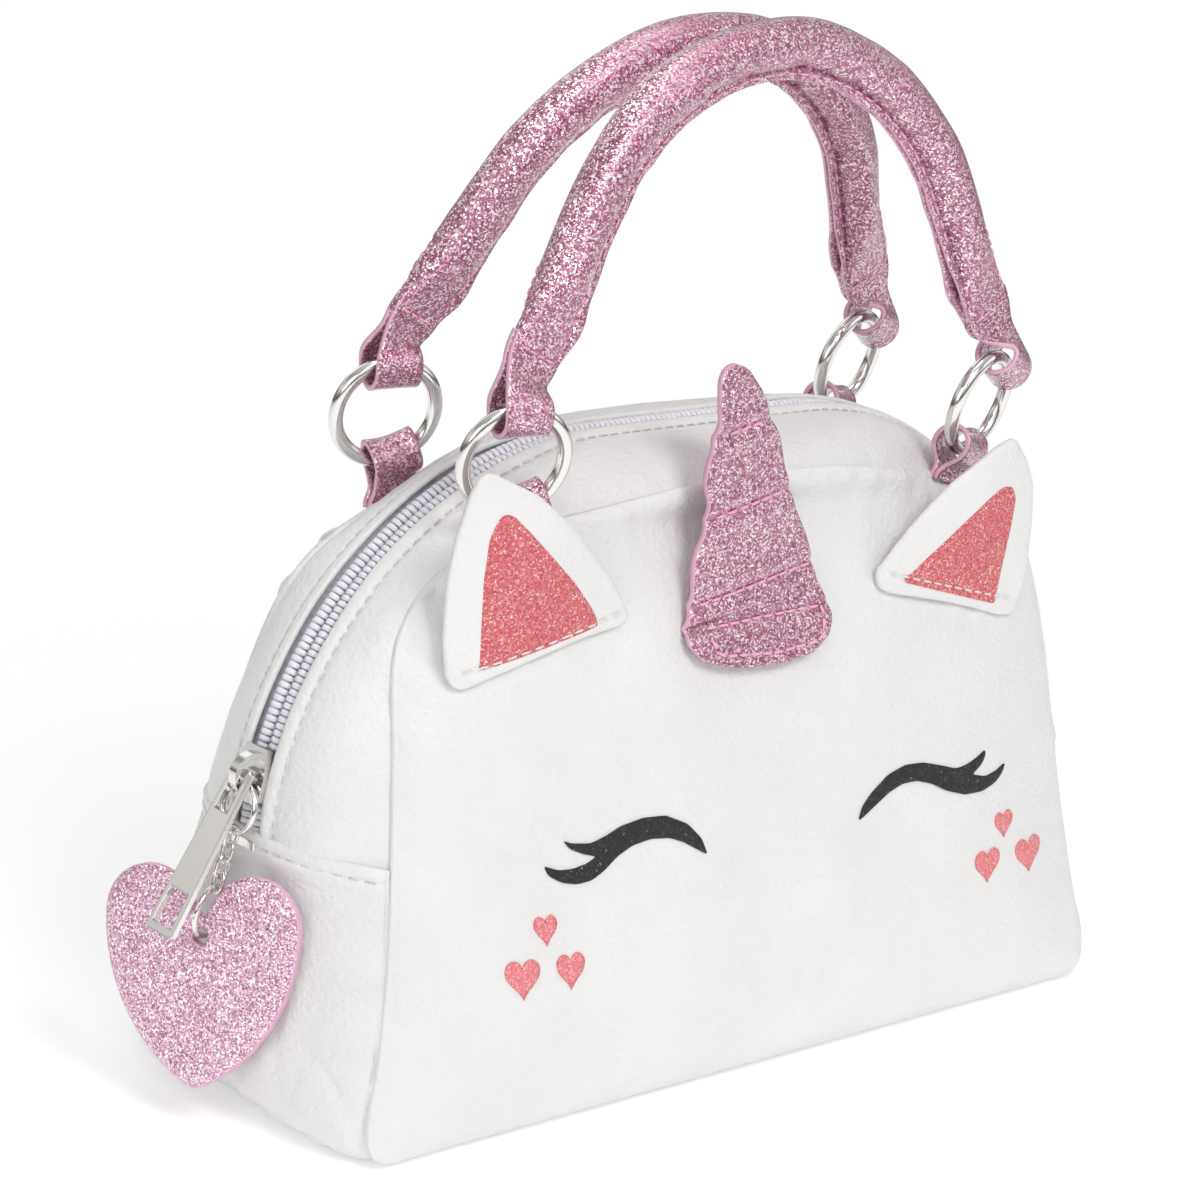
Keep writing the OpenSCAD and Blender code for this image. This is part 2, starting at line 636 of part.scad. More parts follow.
module chain_link_3() {
    chain_link(3);
}
module chain_link_4() {
    chain_link(4);
}
module charm_ring_low() {
    color(metal_colour)
    on_chain(ring_low_drop)
    rotate([0, 0, heart_turn_angle + 90])
    translate([0, 0, -(ring_low_d - jump_wire) / 2])
    rotate([90, 0, 0]) wire_ring(ring_low_d, jump_wire);
}
heart_hole_d = 3.8;
heart_hole_drop = 3;
heart_lobe_share = 0.23;
heart_hole_at = chain_way(heart_drop);
// Heart outline with the notch at the origin: two round lobes, and two wide arcs down to the tip
module heart_plan() {
    lobe = heart_w * heart_lobe_share;
    lobe_x = heart_w / 2 - lobe;
    aside = (heart_h * heart_h - heart_w * heart_w / 4) / heart_w;
    difference() {
        union() {
            for (x = [-lobe_x, lobe_x]) translate([x, 0]) circle(lobe, $fn = 64);
            intersection() {
                translate([-aside, 0]) circle(aside + heart_w / 2, $fn = 128);
                translate([aside, 0]) circle(aside + heart_w / 2, $fn = 128);
                translate([-heart_w / 2, -heart_h]) square([heart_w, heart_h]);
            }
        }
        translate([0, -heart_hole_drop]) circle(d = heart_hole_d, $fn = 32);
    }
}
module heart(side) {
    color(glitter_colour)
    translate(heart_hole_at)
    rotate([0, 0, heart_turn_angle])
    rotate([heart_pitch_angle, 0, 0])
    rotate([90, heart_roll_angle, 0])
    translate([0, heart_hole_drop, side > 0 ? 0 : -heart_ply]) linear_extrude(heart_ply) heart_plan();
}
module heart_front_ply() {
    heart(1);
}
module heart_back_ply() {
    heart(-1);
}

// Tabs: a strap folded round the ring and sewn into the panel seam
eye_play = 3.3;
eye_bore = ring_wire + 2 * eye_play;
eye_d = eye_bore + 2 * strap_t;
eye_w = 7;
tab_stand = 2;
function seam_at_x(x) = let (l = lookup(-x, [for (i = [0:len(outline) - 1]) [-outline[i][0] - i * 1e-6,
    outline_len[i]]])) [x, -lookup(l, depth_table), lookup(l, z_table)];
tab_seam = seam_at_x(tab_x);
tab_eye = [tab_x, tab_seam[1] - tab_stand, tab_seam[2] + 2 * seam_gap + eye_d / 2];
module eye_tube() {
    rotate([0, 90, 0])
    difference() {
        cylinder(h = eye_w, d = eye_d, center = true, $fn = 48);
        cylinder(h = strap_w + 2 * over, d = eye_bore, center = true, $fn = 48);
    }
}
module tab() {
    low_in = seam_at_x(tab_x - strap_w / 2)[2] + 3 * seam_gap;
    low_out = seam_at_x(tab_x + strap_w / 2)[2] + 3 * seam_gap;
    color(glitter_colour) {
        translate(tab_eye) eye_tube();
        difference() {
            translate([0, tab_eye[1] + strap_t, 0])
            rotate([90, 0, 0])
            linear_extrude(2 * strap_t)
            polygon([[tab_x - strap_w / 2, low_in], [tab_x + strap_w / 2, low_out],
                [tab_x + strap_w / 2, tab_eye[2]], [tab_x - strap_w / 2, tab_eye[2]]]);
            translate(tab_eye) rotate([0, 90, 0])
                cylinder(h = strap_w + 2 * over, d = eye_bore, center = true, $fn = 48);
        }
    }
}
module tab_front_right() {
    tab();
}
module tab_front_left() {
    mirror([1, 0, 0]) tab();
}
module tab_back_right() {
    mirror([0, 1, 0]) tab();
}
module tab_back_left() {
    mirror([1, 0, 0]) mirror([0, 1, 0]) tab();
}

// Rings: each leans forwards, outwards and turns, as the photo shows; its lowest wire is in the tab
ring_forward_angle = 12;
ring_aside_angle = 16;
ring_twist_angle = 18;
ring_reach = ring_d - ring_wire;
function ring_way(v) =
    let (a = [v[0], v[1] * cos(ring_forward_angle) - v[2] * sin(ring_forward_angle),
            v[1] * sin(ring_forward_angle) + v[2] * cos(ring_forward_angle)],
        b = [a[0] * cos(ring_aside_angle) + a[2] * sin(ring_aside_angle), a[1],
            -a[0] * sin(ring_aside_angle) + a[2] * cos(ring_aside_angle)])
    [b[0] * cos(ring_twist_angle) - b[1] * sin(ring_twist_angle), b[0] * sin(ring_twist_angle) + b[1] * cos(ring_twist_angle), b[2]];
ring_up = ring_way([0, 0, ring_reach]);
module ring(y_side) {
    color(metal_colour)
    translate([tab_eye[0], y_side * abs(tab_eye[1]), tab_eye[2]])
    rotate([ring_forward_angle, ring_aside_angle, ring_twist_angle])
    translate([0, 0, ring_reach / 2])
    rotate([90, 0, 0])
        rotate_extrude($fn = 64) translate([ring_reach / 2, 0]) circle(ring_wire / 2, $fn = 24);
}
module ring_front_right() {
    ring(-1);
}
module ring_front_left() {
    mirror([1, 0, 0]) ring(-1);
}
module ring_back_right() {
    ring(1);
}
module ring_back_left() {
    mirror([1, 0, 0]) ring(1);
}

// Handles: a rolled cover with its stitched edge on the inside, round a cord, in its own plane.
// The eyes' axis is the x axis there.
eye_x = tab_eye[0] + ring_up[0];
leg_l = (eye_x - handle_r * cos(handle_splay_angle)) / sin(handle_splay_angle);
bend_z = leg_l * cos(handle_splay_angle) - handle_r * sin(handle_splay_angle);
taper_l = 9;
tube_from = eye_d / 2 + flat_l + taper_l;
// Step in size where a leg laps the bend, and the length of that lap
lap_step = 0.02;
lap_l = 0.5;
module handle_section(step = 0) {
    difference() {
        union() {
            circle(d = handle_d + 2 * step, $fn = 40);
            translate([-handle_d / 2 - edge_h - step, -edge_t / 2 - step])
                square([edge_h + cover_t, edge_t + 2 * step]);
        }
        circle(d = handle_d - 2 * cover_t - 2 * step, $fn = 40);
    }
}
cord_d = handle_d - 2 * cover_t - 2 * chain_gap;
module handle_bend() {
    translate([0, 0, bend_z])
    rotate([90, 0, 0])
    rotate([0, 0, handle_splay_angle])
    rotate_extrude(angle = 180 - 2 * handle_splay_angle, $fn = 96) translate([handle_r, 0]) children();
}
// Along a leg from its eye: the section's x points outwards
module handle_leg(from) {
    translate([eye_x, 0, 0])
    rotate([0, -handle_splay_angle, 0])
    translate([0, 0, from]) linear_extrude(leg_l - from + lap_l) children();
}
module handle_end() {
    flat = 2 * strap_t;
    translate([eye_x, 0, 0]) {
        eye_tube();
        difference() {
            rotate([0, -handle_splay_angle, 0]) {
                translate([-strap_w / 2, -flat / 2, 0]) cube([strap_w, flat, eye_d / 2 + flat_l]);
                hull() {
                    translate([-strap_w / 2, -flat / 2, eye_d / 2 + flat_l - strap_t])
                        cube([strap_w, flat, strap_t]);
                    translate([0, 0, tube_from - strap_t])
                        cylinder(h = strap_t + lap_l, d = handle_d - 2 * seam_gap, $fn = 32);
                }
            }
            rotate([0, 90, 0])
                cylinder(h = 3 * strap_w, d = eye_bore, center = true, $fn = 48);
        }
    }
}
module handle_cover() {
    color(glitter_colour) {
        handle_bend() handle_section();
        for (side = [0, 1])
            mirror([side, 0, 0]) {
                handle_leg(tube_from) handle_section(lap_step);
                handle_end();
            }
    }
}
module handle_cord() {
    color("white") {
        handle_bend() circle(d = cord_d, $fn = 40);
        for (side = [0, 1])
            mirror([side, 0, 0])
            handle_leg(tube_from + lap_l + seam_gap) circle(d = cord_d + 2 * lap_step, $fn = 40);
    }
}
module at_handle(y_side, lean) {
    translate([0, y_side * abs(tab_eye[1]) + ring_up[1], tab_eye[2] + ring_up[2]])
    rotate([lean, 0, 0]) children();
}
module handle_front_cover() {
    at_handle(-1, -front_lean_angle) handle_cover();
}
module handle_front_cord() {
    at_handle(-1, -front_lean_angle) handle_cord();
}
module handle_back_cover() {
    at_handle(1, back_lean_angle) handle_cover();
}
module handle_back_cord() {
    at_handle(1, back_lean_angle) handle_cord();
}

// Ears: stiff double patches sewn along their lower edge only, so that they stand off the panel
ear_in_shares = [0.348, 0.789];
ear_out_shares = [0.750, 0.709];
ear_tip_share = 0.727;
ear_bow = 3.2;
ear_stand = 3;
patch_gap = 0.2;
ear_in = [ear_in_shares[0] * half_w, ear_in_shares[1] * seam_h];
ear_out = [ear_out_shares[0] * half_w, ear_out_shares[1] * seam_h];
ear_tip = [ear_tip_share * half_w, (ear_in[1] + ear_out[1]) / 2 + ear_h];
ear_tip_w = 2.4;
ear_cols = 6;
ear_rows = 8;
// The glitter patch's edges, as shares across and up the ear, and its own grid
patch_across_shares = [0.2, 0.8];
patch_up_shares = [0.12, 0.8];
patch_cols = 5;
patch_rows = 6;
function side_way(a, b) = let (d = unit([b[0] - a[0], b[1] - a[1]])) [-d[1], d[0]];
function ear_plan(a, b) =
    let (bow = ear_bow * 4 * b * (1 - b),
        l = mix(ear_in, ear_tip - [ear_tip_w / 2, 0], b) + side_way(ear_in, ear_tip) * bow,
        r = mix(ear_out, ear_tip + [ear_tip_w / 2, 0], b) - side_way(ear_out, ear_tip) * bow)
    mix(l, r, a);
function ear_y(a, b) = let (p = ear_plan(a, 0))
    panel_y(p[0], p[1]) - ear_t - seam_gap - ear_stand * b * (2 - b) / 2;
function ear_grid(across, up, cols, rows) = [for (i = [0:rows]) [for (j = [0:cols])
    let (a = mix(across[0], across[1], j / cols), b = mix(up[0], up[1], i / rows), p = ear_plan(a, b))
    [p[0], ear_y(a, b), p[1]]]];
module ear_right() {
    color(leather_colour) sheet(ear_grid([0, 1], [0, 1], ear_cols, ear_rows), ear_t);
}
module ear_left() {
    mirror([1, 0, 0]) ear_right();
}
module ear_glitter_right() {
    color(coral_colour)
    sheet(ear_grid(patch_across_shares, patch_up_shares, patch_cols, patch_rows), glitter_t,
        glitter_t + patch_gap);
}
module ear_glitter_left() {
    mirror([1, 0, 0]) ear_glitter_right();
}

// Horn: a stiff patch sewn on at its foot, free above, leaning to the left
horn_foot_share = 0.695;
horn_foot_x = -5.5;
horn_lean_angle = 12;
horn_cols = 4;
horn_rows = 24;
horn_sewn_share = 0.2;
horn_lift = 1.4;
function horn_width(b, list) = let (n = len(list) - 1, i = min(floor(b * n), n - 1))
    spline([for (w = list) [w]], i, b * n - i)[0] * horn_w / 2;
function horn_point(a, b) =
    let (w = mix(-horn_width(b, horn_left_shares), horn_width(b, horn_right_shares), a),
        x = horn_foot_x + w * cos(horn_lean_angle) - b * horn_h * sin(horn_lean_angle),
        z = seam_h * horn_foot_share + b * horn_h * cos(horn_lean_angle) + w * sin(horn_lean_angle),
        c = seam_h * horn_foot_share + min(b, horn_sewn_share) * horn_h,
        sewn = panel_y(horn_foot_x, c) - horn_t - horn_lift)
    [x, b < horn_sewn_share ? min(sewn, panel_y(x, z) - horn_t - horn_lift) : sewn, z];
module horn() {
    color(glitter_colour)
    sheet([for (i = [0:horn_rows]) [for (j = [0:horn_cols]) horn_point(j / horn_cols, i / horn_rows)]], horn_t);
}

// Prints: thin film on the front panel
film_lift = 0.6;
lash_steps = 3;
tip_steps = 2;
function on_panel(p) = [p[0], panel_y(p[0], p[1]), p[1]];
lash_at = [lash_place_shares[0] * half_w, lash_place_shares[1] * seam_h];
ribbon_probe_share = 0.01;
function ribbon(list, steps) = [for (side = [-1, 0, 1]) [for (i = [0:len(list) - 2])
    for (k = [0:steps - (i == len(list) - 2 ? 0 : 1)])
    let (p = spline(list, i, k / steps), q = spline(list, i, k / steps + ribbon_probe_share), n = side_way(p, q))
    on_panel(lash_at + lash_l * ([p[0], p[1]] + side * p[2] * n))]];
module lash_right() {
    color("black") {
        sheet(ribbon(lash_shares, lash_steps), film_t, film_lift);
        sheet(ribbon(lash_low_shares, tip_steps), film_t, film_lift);
        sheet(ribbon(lash_up_shares, tip_steps), film_t, film_lift);
    }
}
module lash_left() {
    mirror([1, 0, 0]) lash_right();
}
// A printed heart over its half width: its tip, its lobes and the lift of its middle, as shares of
// the half width, and the power of its lower edge
print_tip_share = 1.06;
print_lobe_share = 0.5;
print_middle_share = 0.12;
print_low_power = 0.85;
print_edge_share = 0.97;
print_cols = 10;
print_rows = 3;
function heart_low(a) = -print_tip_share * pow(1 - abs(a), print_low_power)
    + print_middle_share * (1 - abs(a));
function heart_high(a) = print_lobe_share * sqrt(max(1 - pow(2 * abs(a) - 1, 2), 0))
    + print_middle_share * (1 - abs(a));
module cheek_hearts_right() {
    color(coral_colour)
    for (c = cheek_shares)
        let (w = cheek_w * c[2] / 2)
        sheet([for (i = [0:print_rows]) [for (j = [0:print_cols])
            let (a = print_edge_share * (2 * j / print_cols - 1), t = i / print_rows)
            on_panel([c[0] * half_w + a * w, c[1] * seam_h + w * mix(heart_low(a), heart_high(a), t)])]],
            film_t, film_lift);
}
module cheek_hearts_left() {
    mirror([1, 0, 0]) cheek_hearts_right();
}

front_panel();
back_panel();
zip_strip_front();
zip_strip_back();
side_base_gusset();
lining_front();
lining_back();
lining_gusset();
base_board();
zip_tape_front();
zip_tape_back();
zip_coil_front();
zip_coil_back();
zip_stops();
zip_slider();
zip_puller();
charm_ring_top();
chain_link_1();
chain_link_2();
chain_link_3();
chain_link_4();
charm_ring_low();
heart_front_ply();
heart_back_ply();
tab_front_left();
tab_front_right();
tab_back_left();
tab_back_right();
ring_front_left();
ring_front_right();
ring_back_left();
ring_back_right();
handle_front_cover();
handle_front_cord();
handle_back_cover();
handle_back_cord();
ear_left();
ear_right();
ear_glitter_left();
ear_glitter_right();
horn();
lash_left();
lash_right();
cheek_hearts_left();
cheek_hearts_right();
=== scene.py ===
"""Looks of the glitter handbag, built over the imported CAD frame. Lengths are in millimetres until
a mesh is made. Those inside materials, lamps and modifiers are in metres."""
import bpy
import json
import math
import numpy as np
from mathutils import Matrix, Vector, geometry, noise

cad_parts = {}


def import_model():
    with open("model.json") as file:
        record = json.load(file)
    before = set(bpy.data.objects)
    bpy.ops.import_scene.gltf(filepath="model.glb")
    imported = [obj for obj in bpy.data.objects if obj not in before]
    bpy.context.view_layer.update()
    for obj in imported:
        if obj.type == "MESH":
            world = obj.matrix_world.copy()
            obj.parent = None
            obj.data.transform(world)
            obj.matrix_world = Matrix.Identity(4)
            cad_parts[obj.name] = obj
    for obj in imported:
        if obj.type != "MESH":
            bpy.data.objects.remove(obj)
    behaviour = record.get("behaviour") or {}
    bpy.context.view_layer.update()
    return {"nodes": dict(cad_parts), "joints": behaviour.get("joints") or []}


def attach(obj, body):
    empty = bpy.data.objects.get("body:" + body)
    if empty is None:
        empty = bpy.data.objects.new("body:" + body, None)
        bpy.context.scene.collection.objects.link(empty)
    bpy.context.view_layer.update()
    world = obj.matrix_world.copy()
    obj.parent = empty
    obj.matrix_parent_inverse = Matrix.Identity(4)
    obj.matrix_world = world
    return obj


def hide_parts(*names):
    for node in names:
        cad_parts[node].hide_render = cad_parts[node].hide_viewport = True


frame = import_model()
MM = 0.001
NODES = frame["nodes"]
JOINTS = {joint["name"]: np.array(joint["pos_m"]) * 1000 for joint in frame["joints"]}
scene = bpy.context.scene


# Materials
class Nodes:
    """Short calls that build a node tree."""

    def __init__(self, tree):
        self.tree = tree
        self.tree.nodes.clear()

    def put(self, socket, value):
        """Links an output to the socket, or writes a plain value on it."""
        if isinstance(value, bpy.types.NodeSocket):
            self.tree.links.new(value, socket)
        elif socket.type == "RGBA":
            socket.default_value = (*value, 1)
        else:
            socket.default_value = value

    def node(self, kind, inputs=None, **settings):
        n = self.tree.nodes.new(kind)
        for key, value in settings.items():
            setattr(n, key, value)
        for key, value in (inputs or {}).items():
            self.put(n.inputs[key], value)
        return n

    def math(self, operation, *values):
        return self.node("ShaderNodeMath", dict(enumerate(values)), operation=operation).outputs[0]

    def vector(self, operation, *values):
        return self.node("ShaderNodeVectorMath", dict(enumerate(values)), operation=operation).outputs[0]

    def ramp(self, fac, stops, interpolation="LINEAR"):
        n = self.node("ShaderNodeValToRGB", {0: fac})
        n.color_ramp.interpolation = interpolation
        elements = n.color_ramp.elements
        while len(elements) < len(stops):
            elements.new(0.5)
        for element, (at, colour) in zip(elements, stops):
            element.position = at
            element.color = (*colour, 1)
        return n.outputs[0]


class Shader(Nodes):
    """A material with one Principled surface."""

    def __init__(self, name):
        self.material = bpy.data.materials.new(name)
        self.material.use_nodes = True
        super().__init__(self.material.node_tree)
        self.bsdf = self.node("ShaderNodeBsdfPrincipled")
        self.out = self.node("ShaderNodeOutputMaterial", {0: self.bsdf.outputs[0]})
        self.place = self.node("ShaderNodeTexCoord").outputs["Object"]

    def set(self, **values):
        """Values or links of the surface: coat_weight is the socket Coat Weight."""
        for key, value in values.items():
            self.put(self.bsdf.inputs[key.replace("_", " ").title().replace("Ior", "IOR")], value)

    def noise(self, scale, detail):
        inputs = {"Vector": self.place, "Scale": scale, "Detail": detail}
        return self.node("ShaderNodeTexNoise", inputs).outputs["Fac"]

    def voronoi(self, scale, feature="F1"):
        inputs = {"Vector": self.place, "Scale": scale}
        return self.node("ShaderNodeTexVoronoi", inputs, feature=feature).outputs

    def bump(self, height, strength, distance, under=None):
        inputs = {"Height": height, "Strength": strength, "Distance": distance}
        if under is not None:
            inputs["Normal"] = under
        return self.node("ShaderNodeBump", inputs).outputs[0]


def leather(name, colour, shade, grain=900.0, strength=0.6, rough=0.35):
    s = Shader(name)
    soft = s.bump(s.noise(75, 4), 0.22, 0.0035)
    pores = s.bump(s.voronoi(grain, "SMOOTH_F1")["Distance"], strength, 0.0004, soft)
    s.set(base_color=s.ramp(s.noise(38, 3), [(0.3, shade), (0.7, colour)]),
        normal=s.bump(s.noise(grain * 2.2, 3), strength * 0.5, 0.00012, pores),
        roughness=s.math("MULTIPLY_ADD", s.noise(120, 2), 0.14, rough),
        specular_ior_level=0.42, sheen_weight=0.06)
    return s.material


def glitter(name, stops, cell=0.00035, tilt=0.33, metal=0.6, rough=0.27, film=0.9):
    """Flakes, each with its own colour and tilt, under a clear film that streaks in the light. Where the ramp
    ends in near-white flakes, those are painted sparkle glints; the other stops are the flakes' own colours.
    """
    s = Shader(name)
    flake = s.voronoi(1 / cell)["Color"]
    shade = s.node("ShaderNodeSeparateColor", {0: flake}).outputs[0]
    lean = s.vector("MULTIPLY_ADD", flake, (2 * tilt,) * 3, (-tilt,) * 3)
    total = s.vector("ADD", s.node("ShaderNodeNewGeometry").outputs["Normal"], lean)
    s.set(base_color=s.ramp(shade, stops, "CONSTANT"), normal=s.vector("NORMALIZE", total),
        metallic=metal, roughness=rough, coat_weight=film, coat_roughness=0.24,
        coat_normal=s.bump(s.noise(1 / cell, 2), 0.1, 0.0003))
    return s.material


def metal(name, colour, rough=0.08):
    s = Shader(name)
    s.set(base_color=colour, metallic=1.0, normal=s.bump(s.noise(700, 3), 0.05, 0.0001),
        roughness=s.math("MULTIPLY_ADD", s.noise(160, 3), 0.12, rough))
    return s.material


def woven(name, colour, shade, pitch=0.0006):
    s = Shader(name)
    inputs = {"Vector": s.place, "Scale": 0.16 / pitch, "Distortion": 0.6}
    waves = [s.node("ShaderNodeTexWave", inputs, bands_direction=way).outputs["Fac"] for way in "XZ"]
    height = s.math("MAXIMUM", *waves)
    # the colour follows the weave's height: its hollows are darker, as painted shade
    s.set(base_color=s.ramp(height, [(0.2, shade), (0.8, colour)]), normal=s.bump(height, 0.5, 0.0001),
        roughness=0.75, sheen_weight=0.15)
    return s.material


def painted(name, colour, shade):
    s = Shader(name)
    s.set(base_color=s.ramp(s.noise(420, 3), [(0.3, shade), (0.7, colour)]), roughness=0.38,
        normal=s.bump(s.noise(900, 3), 0.25, 0.0001))
    return s.material

WHITE = leather("white_leather", (0.83, 0.825, 0.815), (0.79, 0.785, 0.775))
# in MAUVE, ROSE, CORAL and BLACK the palest stops are painted sparkle glints among the flakes' own colours
MAUVE = glitter("mauve_glitter", [(0.0, (0.33, 0.10, 0.18)), (0.34, (0.47, 0.18, 0.28)),
    (0.60, (0.66, 0.36, 0.48)), (0.75, (0.92, 0.76, 0.83)), (0.91, (1.0, 0.95, 0.98))])
ROSE = glitter("heart_glitter", [(0.0, (0.52, 0.22, 0.34)), (0.26, (0.68, 0.38, 0.52)),
    (0.52, (0.84, 0.58, 0.71)), (0.74, (0.96, 0.82, 0.90)), (0.88, (1.0, 0.97, 1.0))],
    cell=0.00034, film=0.2)
CORAL = glitter("coral_glitter", [(0.0, (0.56, 0.085, 0.10)), (0.34, (0.70, 0.15, 0.17)),
    (0.72, (0.80, 0.27, 0.27)), (0.92, (0.95, 0.72, 0.66))],
    cell=0.00032, metal=0.15, tilt=0.4, rough=0.4, film=0.06)
PRINT = glitter("heart_print", [(0.0, (0.74, 0.17, 0.19)), (0.4, (0.82, 0.24, 0.26)),
    (0.8, (0.90, 0.44, 0.44))], cell=0.00032, metal=0.05, tilt=0.3, rough=0.45, film=0.0)
BLACK = glitter("black_glitter", [(0.0, (0.008, 0.007, 0.009)), (0.78, (0.018, 0.015, 0.02)),
    (0.95, (0.05, 0.045, 0.055)), (0.992, (0.22, 0.20, 0.23))], metal=0.0, rough=0.55, tilt=0.25, film=0.0)
NICKEL = metal("nickel", (0.80, 0.79, 0.77))
PINK = painted("painted_edge", (0.80, 0.47, 0.61), (0.73, 0.40, 0.54))
TAPE = woven("zip_tape_cloth", (0.86, 0.85, 0.90), (0.76, 0.75, 0.82))
COIL = painted("coil_plastic", (0.86, 0.85, 0.90), (0.78, 0.77, 0.84))
# white thread, its colour greyed to paint the shade of its stitch holes
THREAD_WITH_PAINTED_SHADE = woven("white_thread_painted_shade", (0.70, 0.69, 0.68), (0.50, 0.49, 0.48), 0.0003)
EAR_THREAD = woven("ear_thread", (0.84, 0.83, 0.82), (0.70, 0.69, 0.68), 0.0003)
MAUVE_THREAD = woven("mauve_thread", (0.92, 0.46, 0.64), (0.80, 0.36, 0.53), 0.0003)
LINING = woven("lining_cloth", (0.74, 0.73, 0.72), (0.60, 0.59, 0.58), 0.0008)
BOARD = painted("board", (0.55, 0.48, 0.40), (0.48, 0.41, 0.33))
CORD = woven("cord", (0.80, 0.80, 0.78), (0.6, 0.6, 0.58), 0.001)


# Mesh helpers
def make(name, shape, material, replaces=(), body="bag", smooth=True):
    """A mesh object from (points, faces) in millimetres, riding on a CAD body. Where the shape has a
    third item, that marks the faces of its painted edge with 1."""
    points, faces, *edge = shape
    mesh = bpy.data.meshes.new(name)
    mesh.from_pydata((np.asarray(points, float).reshape(-1, 3) * MM).tolist(), [], faces)
    mesh.validate()
    mesh.materials.append(material)
    if edge:
        mesh.materials.append(PINK)
        mesh.polygons.foreach_set("material_index", np.asarray(edge[0], np.int32))
    mesh.polygons.foreach_set("use_smooth", np.full(len(mesh.polygons), smooth))
    mesh.update()
    ob = bpy.data.objects.new(name, mesh)
    scene.collection.objects.link(ob)
    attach(ob, body)
    if replaces:
        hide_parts(*replaces)


Y = np.array([0, 1.0, 0])


def lerp(a, b, t):
    return a + (b - a) * t


def smooth_step(t):
    return t * t * (3 - 2 * t)


def unit(v):
    return v / np.maximum(np.linalg.norm(v, axis=-1, keepdims=True), 1e-9)


def normals(g):
    return unit(np.cross(np.gradient(g, axis=1), np.gradient(g, axis=0)))


def shell(g, thick, lift=0.0, flip=False):
    """Closed sheet under the grid g (rows, columns, 3)."""
    if flip:
        g = g[:, ::-1]
    n = normals(g)
    top, low = g + n * lift, g + n * (lift - thick)
    rows, columns = g.shape[:2]
    count = rows * columns
    idx = np.arange(count).reshape(rows, columns)
    quads = np.stack([idx[:-1, :-1], idx[:-1, 1:], idx[1:, 1:], idx[1:, :-1]], -1).reshape(-1, 4)
    ring = np.concatenate([idx[0, :-1], idx[:-1, -1], idx[-1, :0:-1], idx[:0:-1, 0]])
    after = np.roll(ring, -1)
    rim = np.stack([after, ring, ring + count, after + count], -1)
    return np.concatenate([top.reshape(-1, 3), low.reshape(-1, 3)]), \
        np.concatenate([quads, quads[:, ::-1] + count, rim]).tolist()


def join(parts):
    """Joins several (points, faces) pairs."""
    points, faces, n = [], [], 0
    for p, f in parts:
        points.append(np.asarray(p, float).reshape(-1, 3))
        faces += [[i + n for i in face] for face in f]
        n += len(points[-1])
    return np.concatenate(points), faces


def sweep(frames, sections):
    """Capped tube through frames of (origin, x axis, y axis), with one section (k, 2) or one for each."""
    n = len(frames)
    sections = np.asarray(sections, float)
    if sections.ndim == 2:
        sections = np.repeat(sections[None], n, 0)
    k = sections.shape[1]
    points = np.array([np.asarray(o) + section[:, :1] * np.asarray(x) + section[:, 1:] * np.asarray(y)
        for section, (o, x, y) in zip(sections, frames)])
    faces = []
    for a in range(0, (n - 1) * k, k):
        faces += [[a + j, a + (j + 1) % k, a + k + (j + 1) % k, a + k + j] for j in range(k)]
    faces.append(list(range(k))[::-1])
    faces.append([(n - 1) * k + j for j in range(k)])
    return points.reshape(-1, 3), faces


def rounded(a, b, power=2.0, k=20):
    """Superellipse with half axes a and b."""
    turn = np.linspace(0, 2 * np.pi, k, endpoint=False)
    ways = np.stack([np.cos(turn), np.sin(turn)], 1)
    return np.array([a, b]) * np.sign(ways) * np.abs(ways) ** (2 / power)


def run_along(path):
    """Length from the start of a path to each of its points."""
    return np.concatenate([[0], np.cumsum(np.linalg.norm(np.diff(path, axis=0), axis=1))])


def sample(s, run, rows):
    """The rows of a path at the lengths s."""
    return np.stack([np.interp(s, run, column) for column in np.asarray(rows, float).T], -1)


# one stitch: shares of its length from the middle, and of its radius
STITCH = [(-0.5, 0.25), (-0.38, 0.85), (0.0, 1.0), (0.38, 0.85), (0.5, 0.25)]


def stitches(path, out, length=2.5, gap=1.1, radius=0.26, lift=0.05):
    """Thread segments along a path on a surface. out is the way out of it, one for all points or one each."""
    path = np.asarray(path, float)
    out = np.broadcast_to(np.asarray(out, float), path.shape)
    run = run_along(path)
    sections = [rounded(radius * share, radius * share, 2, 6) for _, share in STITCH]
    parts = []
    s = gap
    while s + length < run[-1]:
        start, end = sample(s, run, path), sample(s + length, run, path)
        n = unit(sample(s + length / 2, run, out))
        way = unit(end - start)
        side = unit(np.cross(n, way))
        up = np.cross(way, side)
        frames = [((start + end) / 2 + (end - start) * share
            + up * (lift + radius * (0.35 if abs(share) < 0.45 else -0.9)), side, up) for share, _ in STITCH]
        parts.append(sweep(frames, sections))
        s += length + gap
    return join(parts)


def soft_noise(p, scale, seed=0.0):
    """Smooth noise in about -1 to 1 at points in millimetres."""
    q = np.asarray(p, float).reshape(-1, 3) / scale + seed
    return np.array([noise.noise(Vector(v)) for v in q]).reshape(np.asarray(p).shape[:-1])



# The bag's surfaces, the same curves as the CAD part's
HALF_W, SEAM_H, HALF_D, SWELL, PANEL_SWELL, FOOT = 110.0, 135.0, 44.0, 12.5, 11.0, 1.8
LEATHER = 1.4
# from the base's corner to the crown: shares of half width, height, half depth and side swell
SHARES = np.array([
    [0.955, 0.000, 1.00, 0.15], [0.984, 0.013, 0.99, 0.28], [0.996, 0.042, 0.98, 0.48],
    [0.990, 0.092, 0.96, 0.78], [0.965, 0.165, 0.92, 0.96], [0.933, 0.315, 0.83, 1.00],
    [0.913, 0.455, 0.74, 1.00], [0.894, 0.619, 0.63, 0.92], [0.866, 0.765, 0.50, 0.45],
    [0.800, 0.850, 0.45, 0.27], [0.695, 0.903, 0.43, 0.22], [0.580, 0.933, 0.45, 0.35],
    [0.371, 0.967, 0.55, 0.50], [0.185, 0.991, 0.61, 0.54], [0.000, 1.000, 0.627, 0.56]])


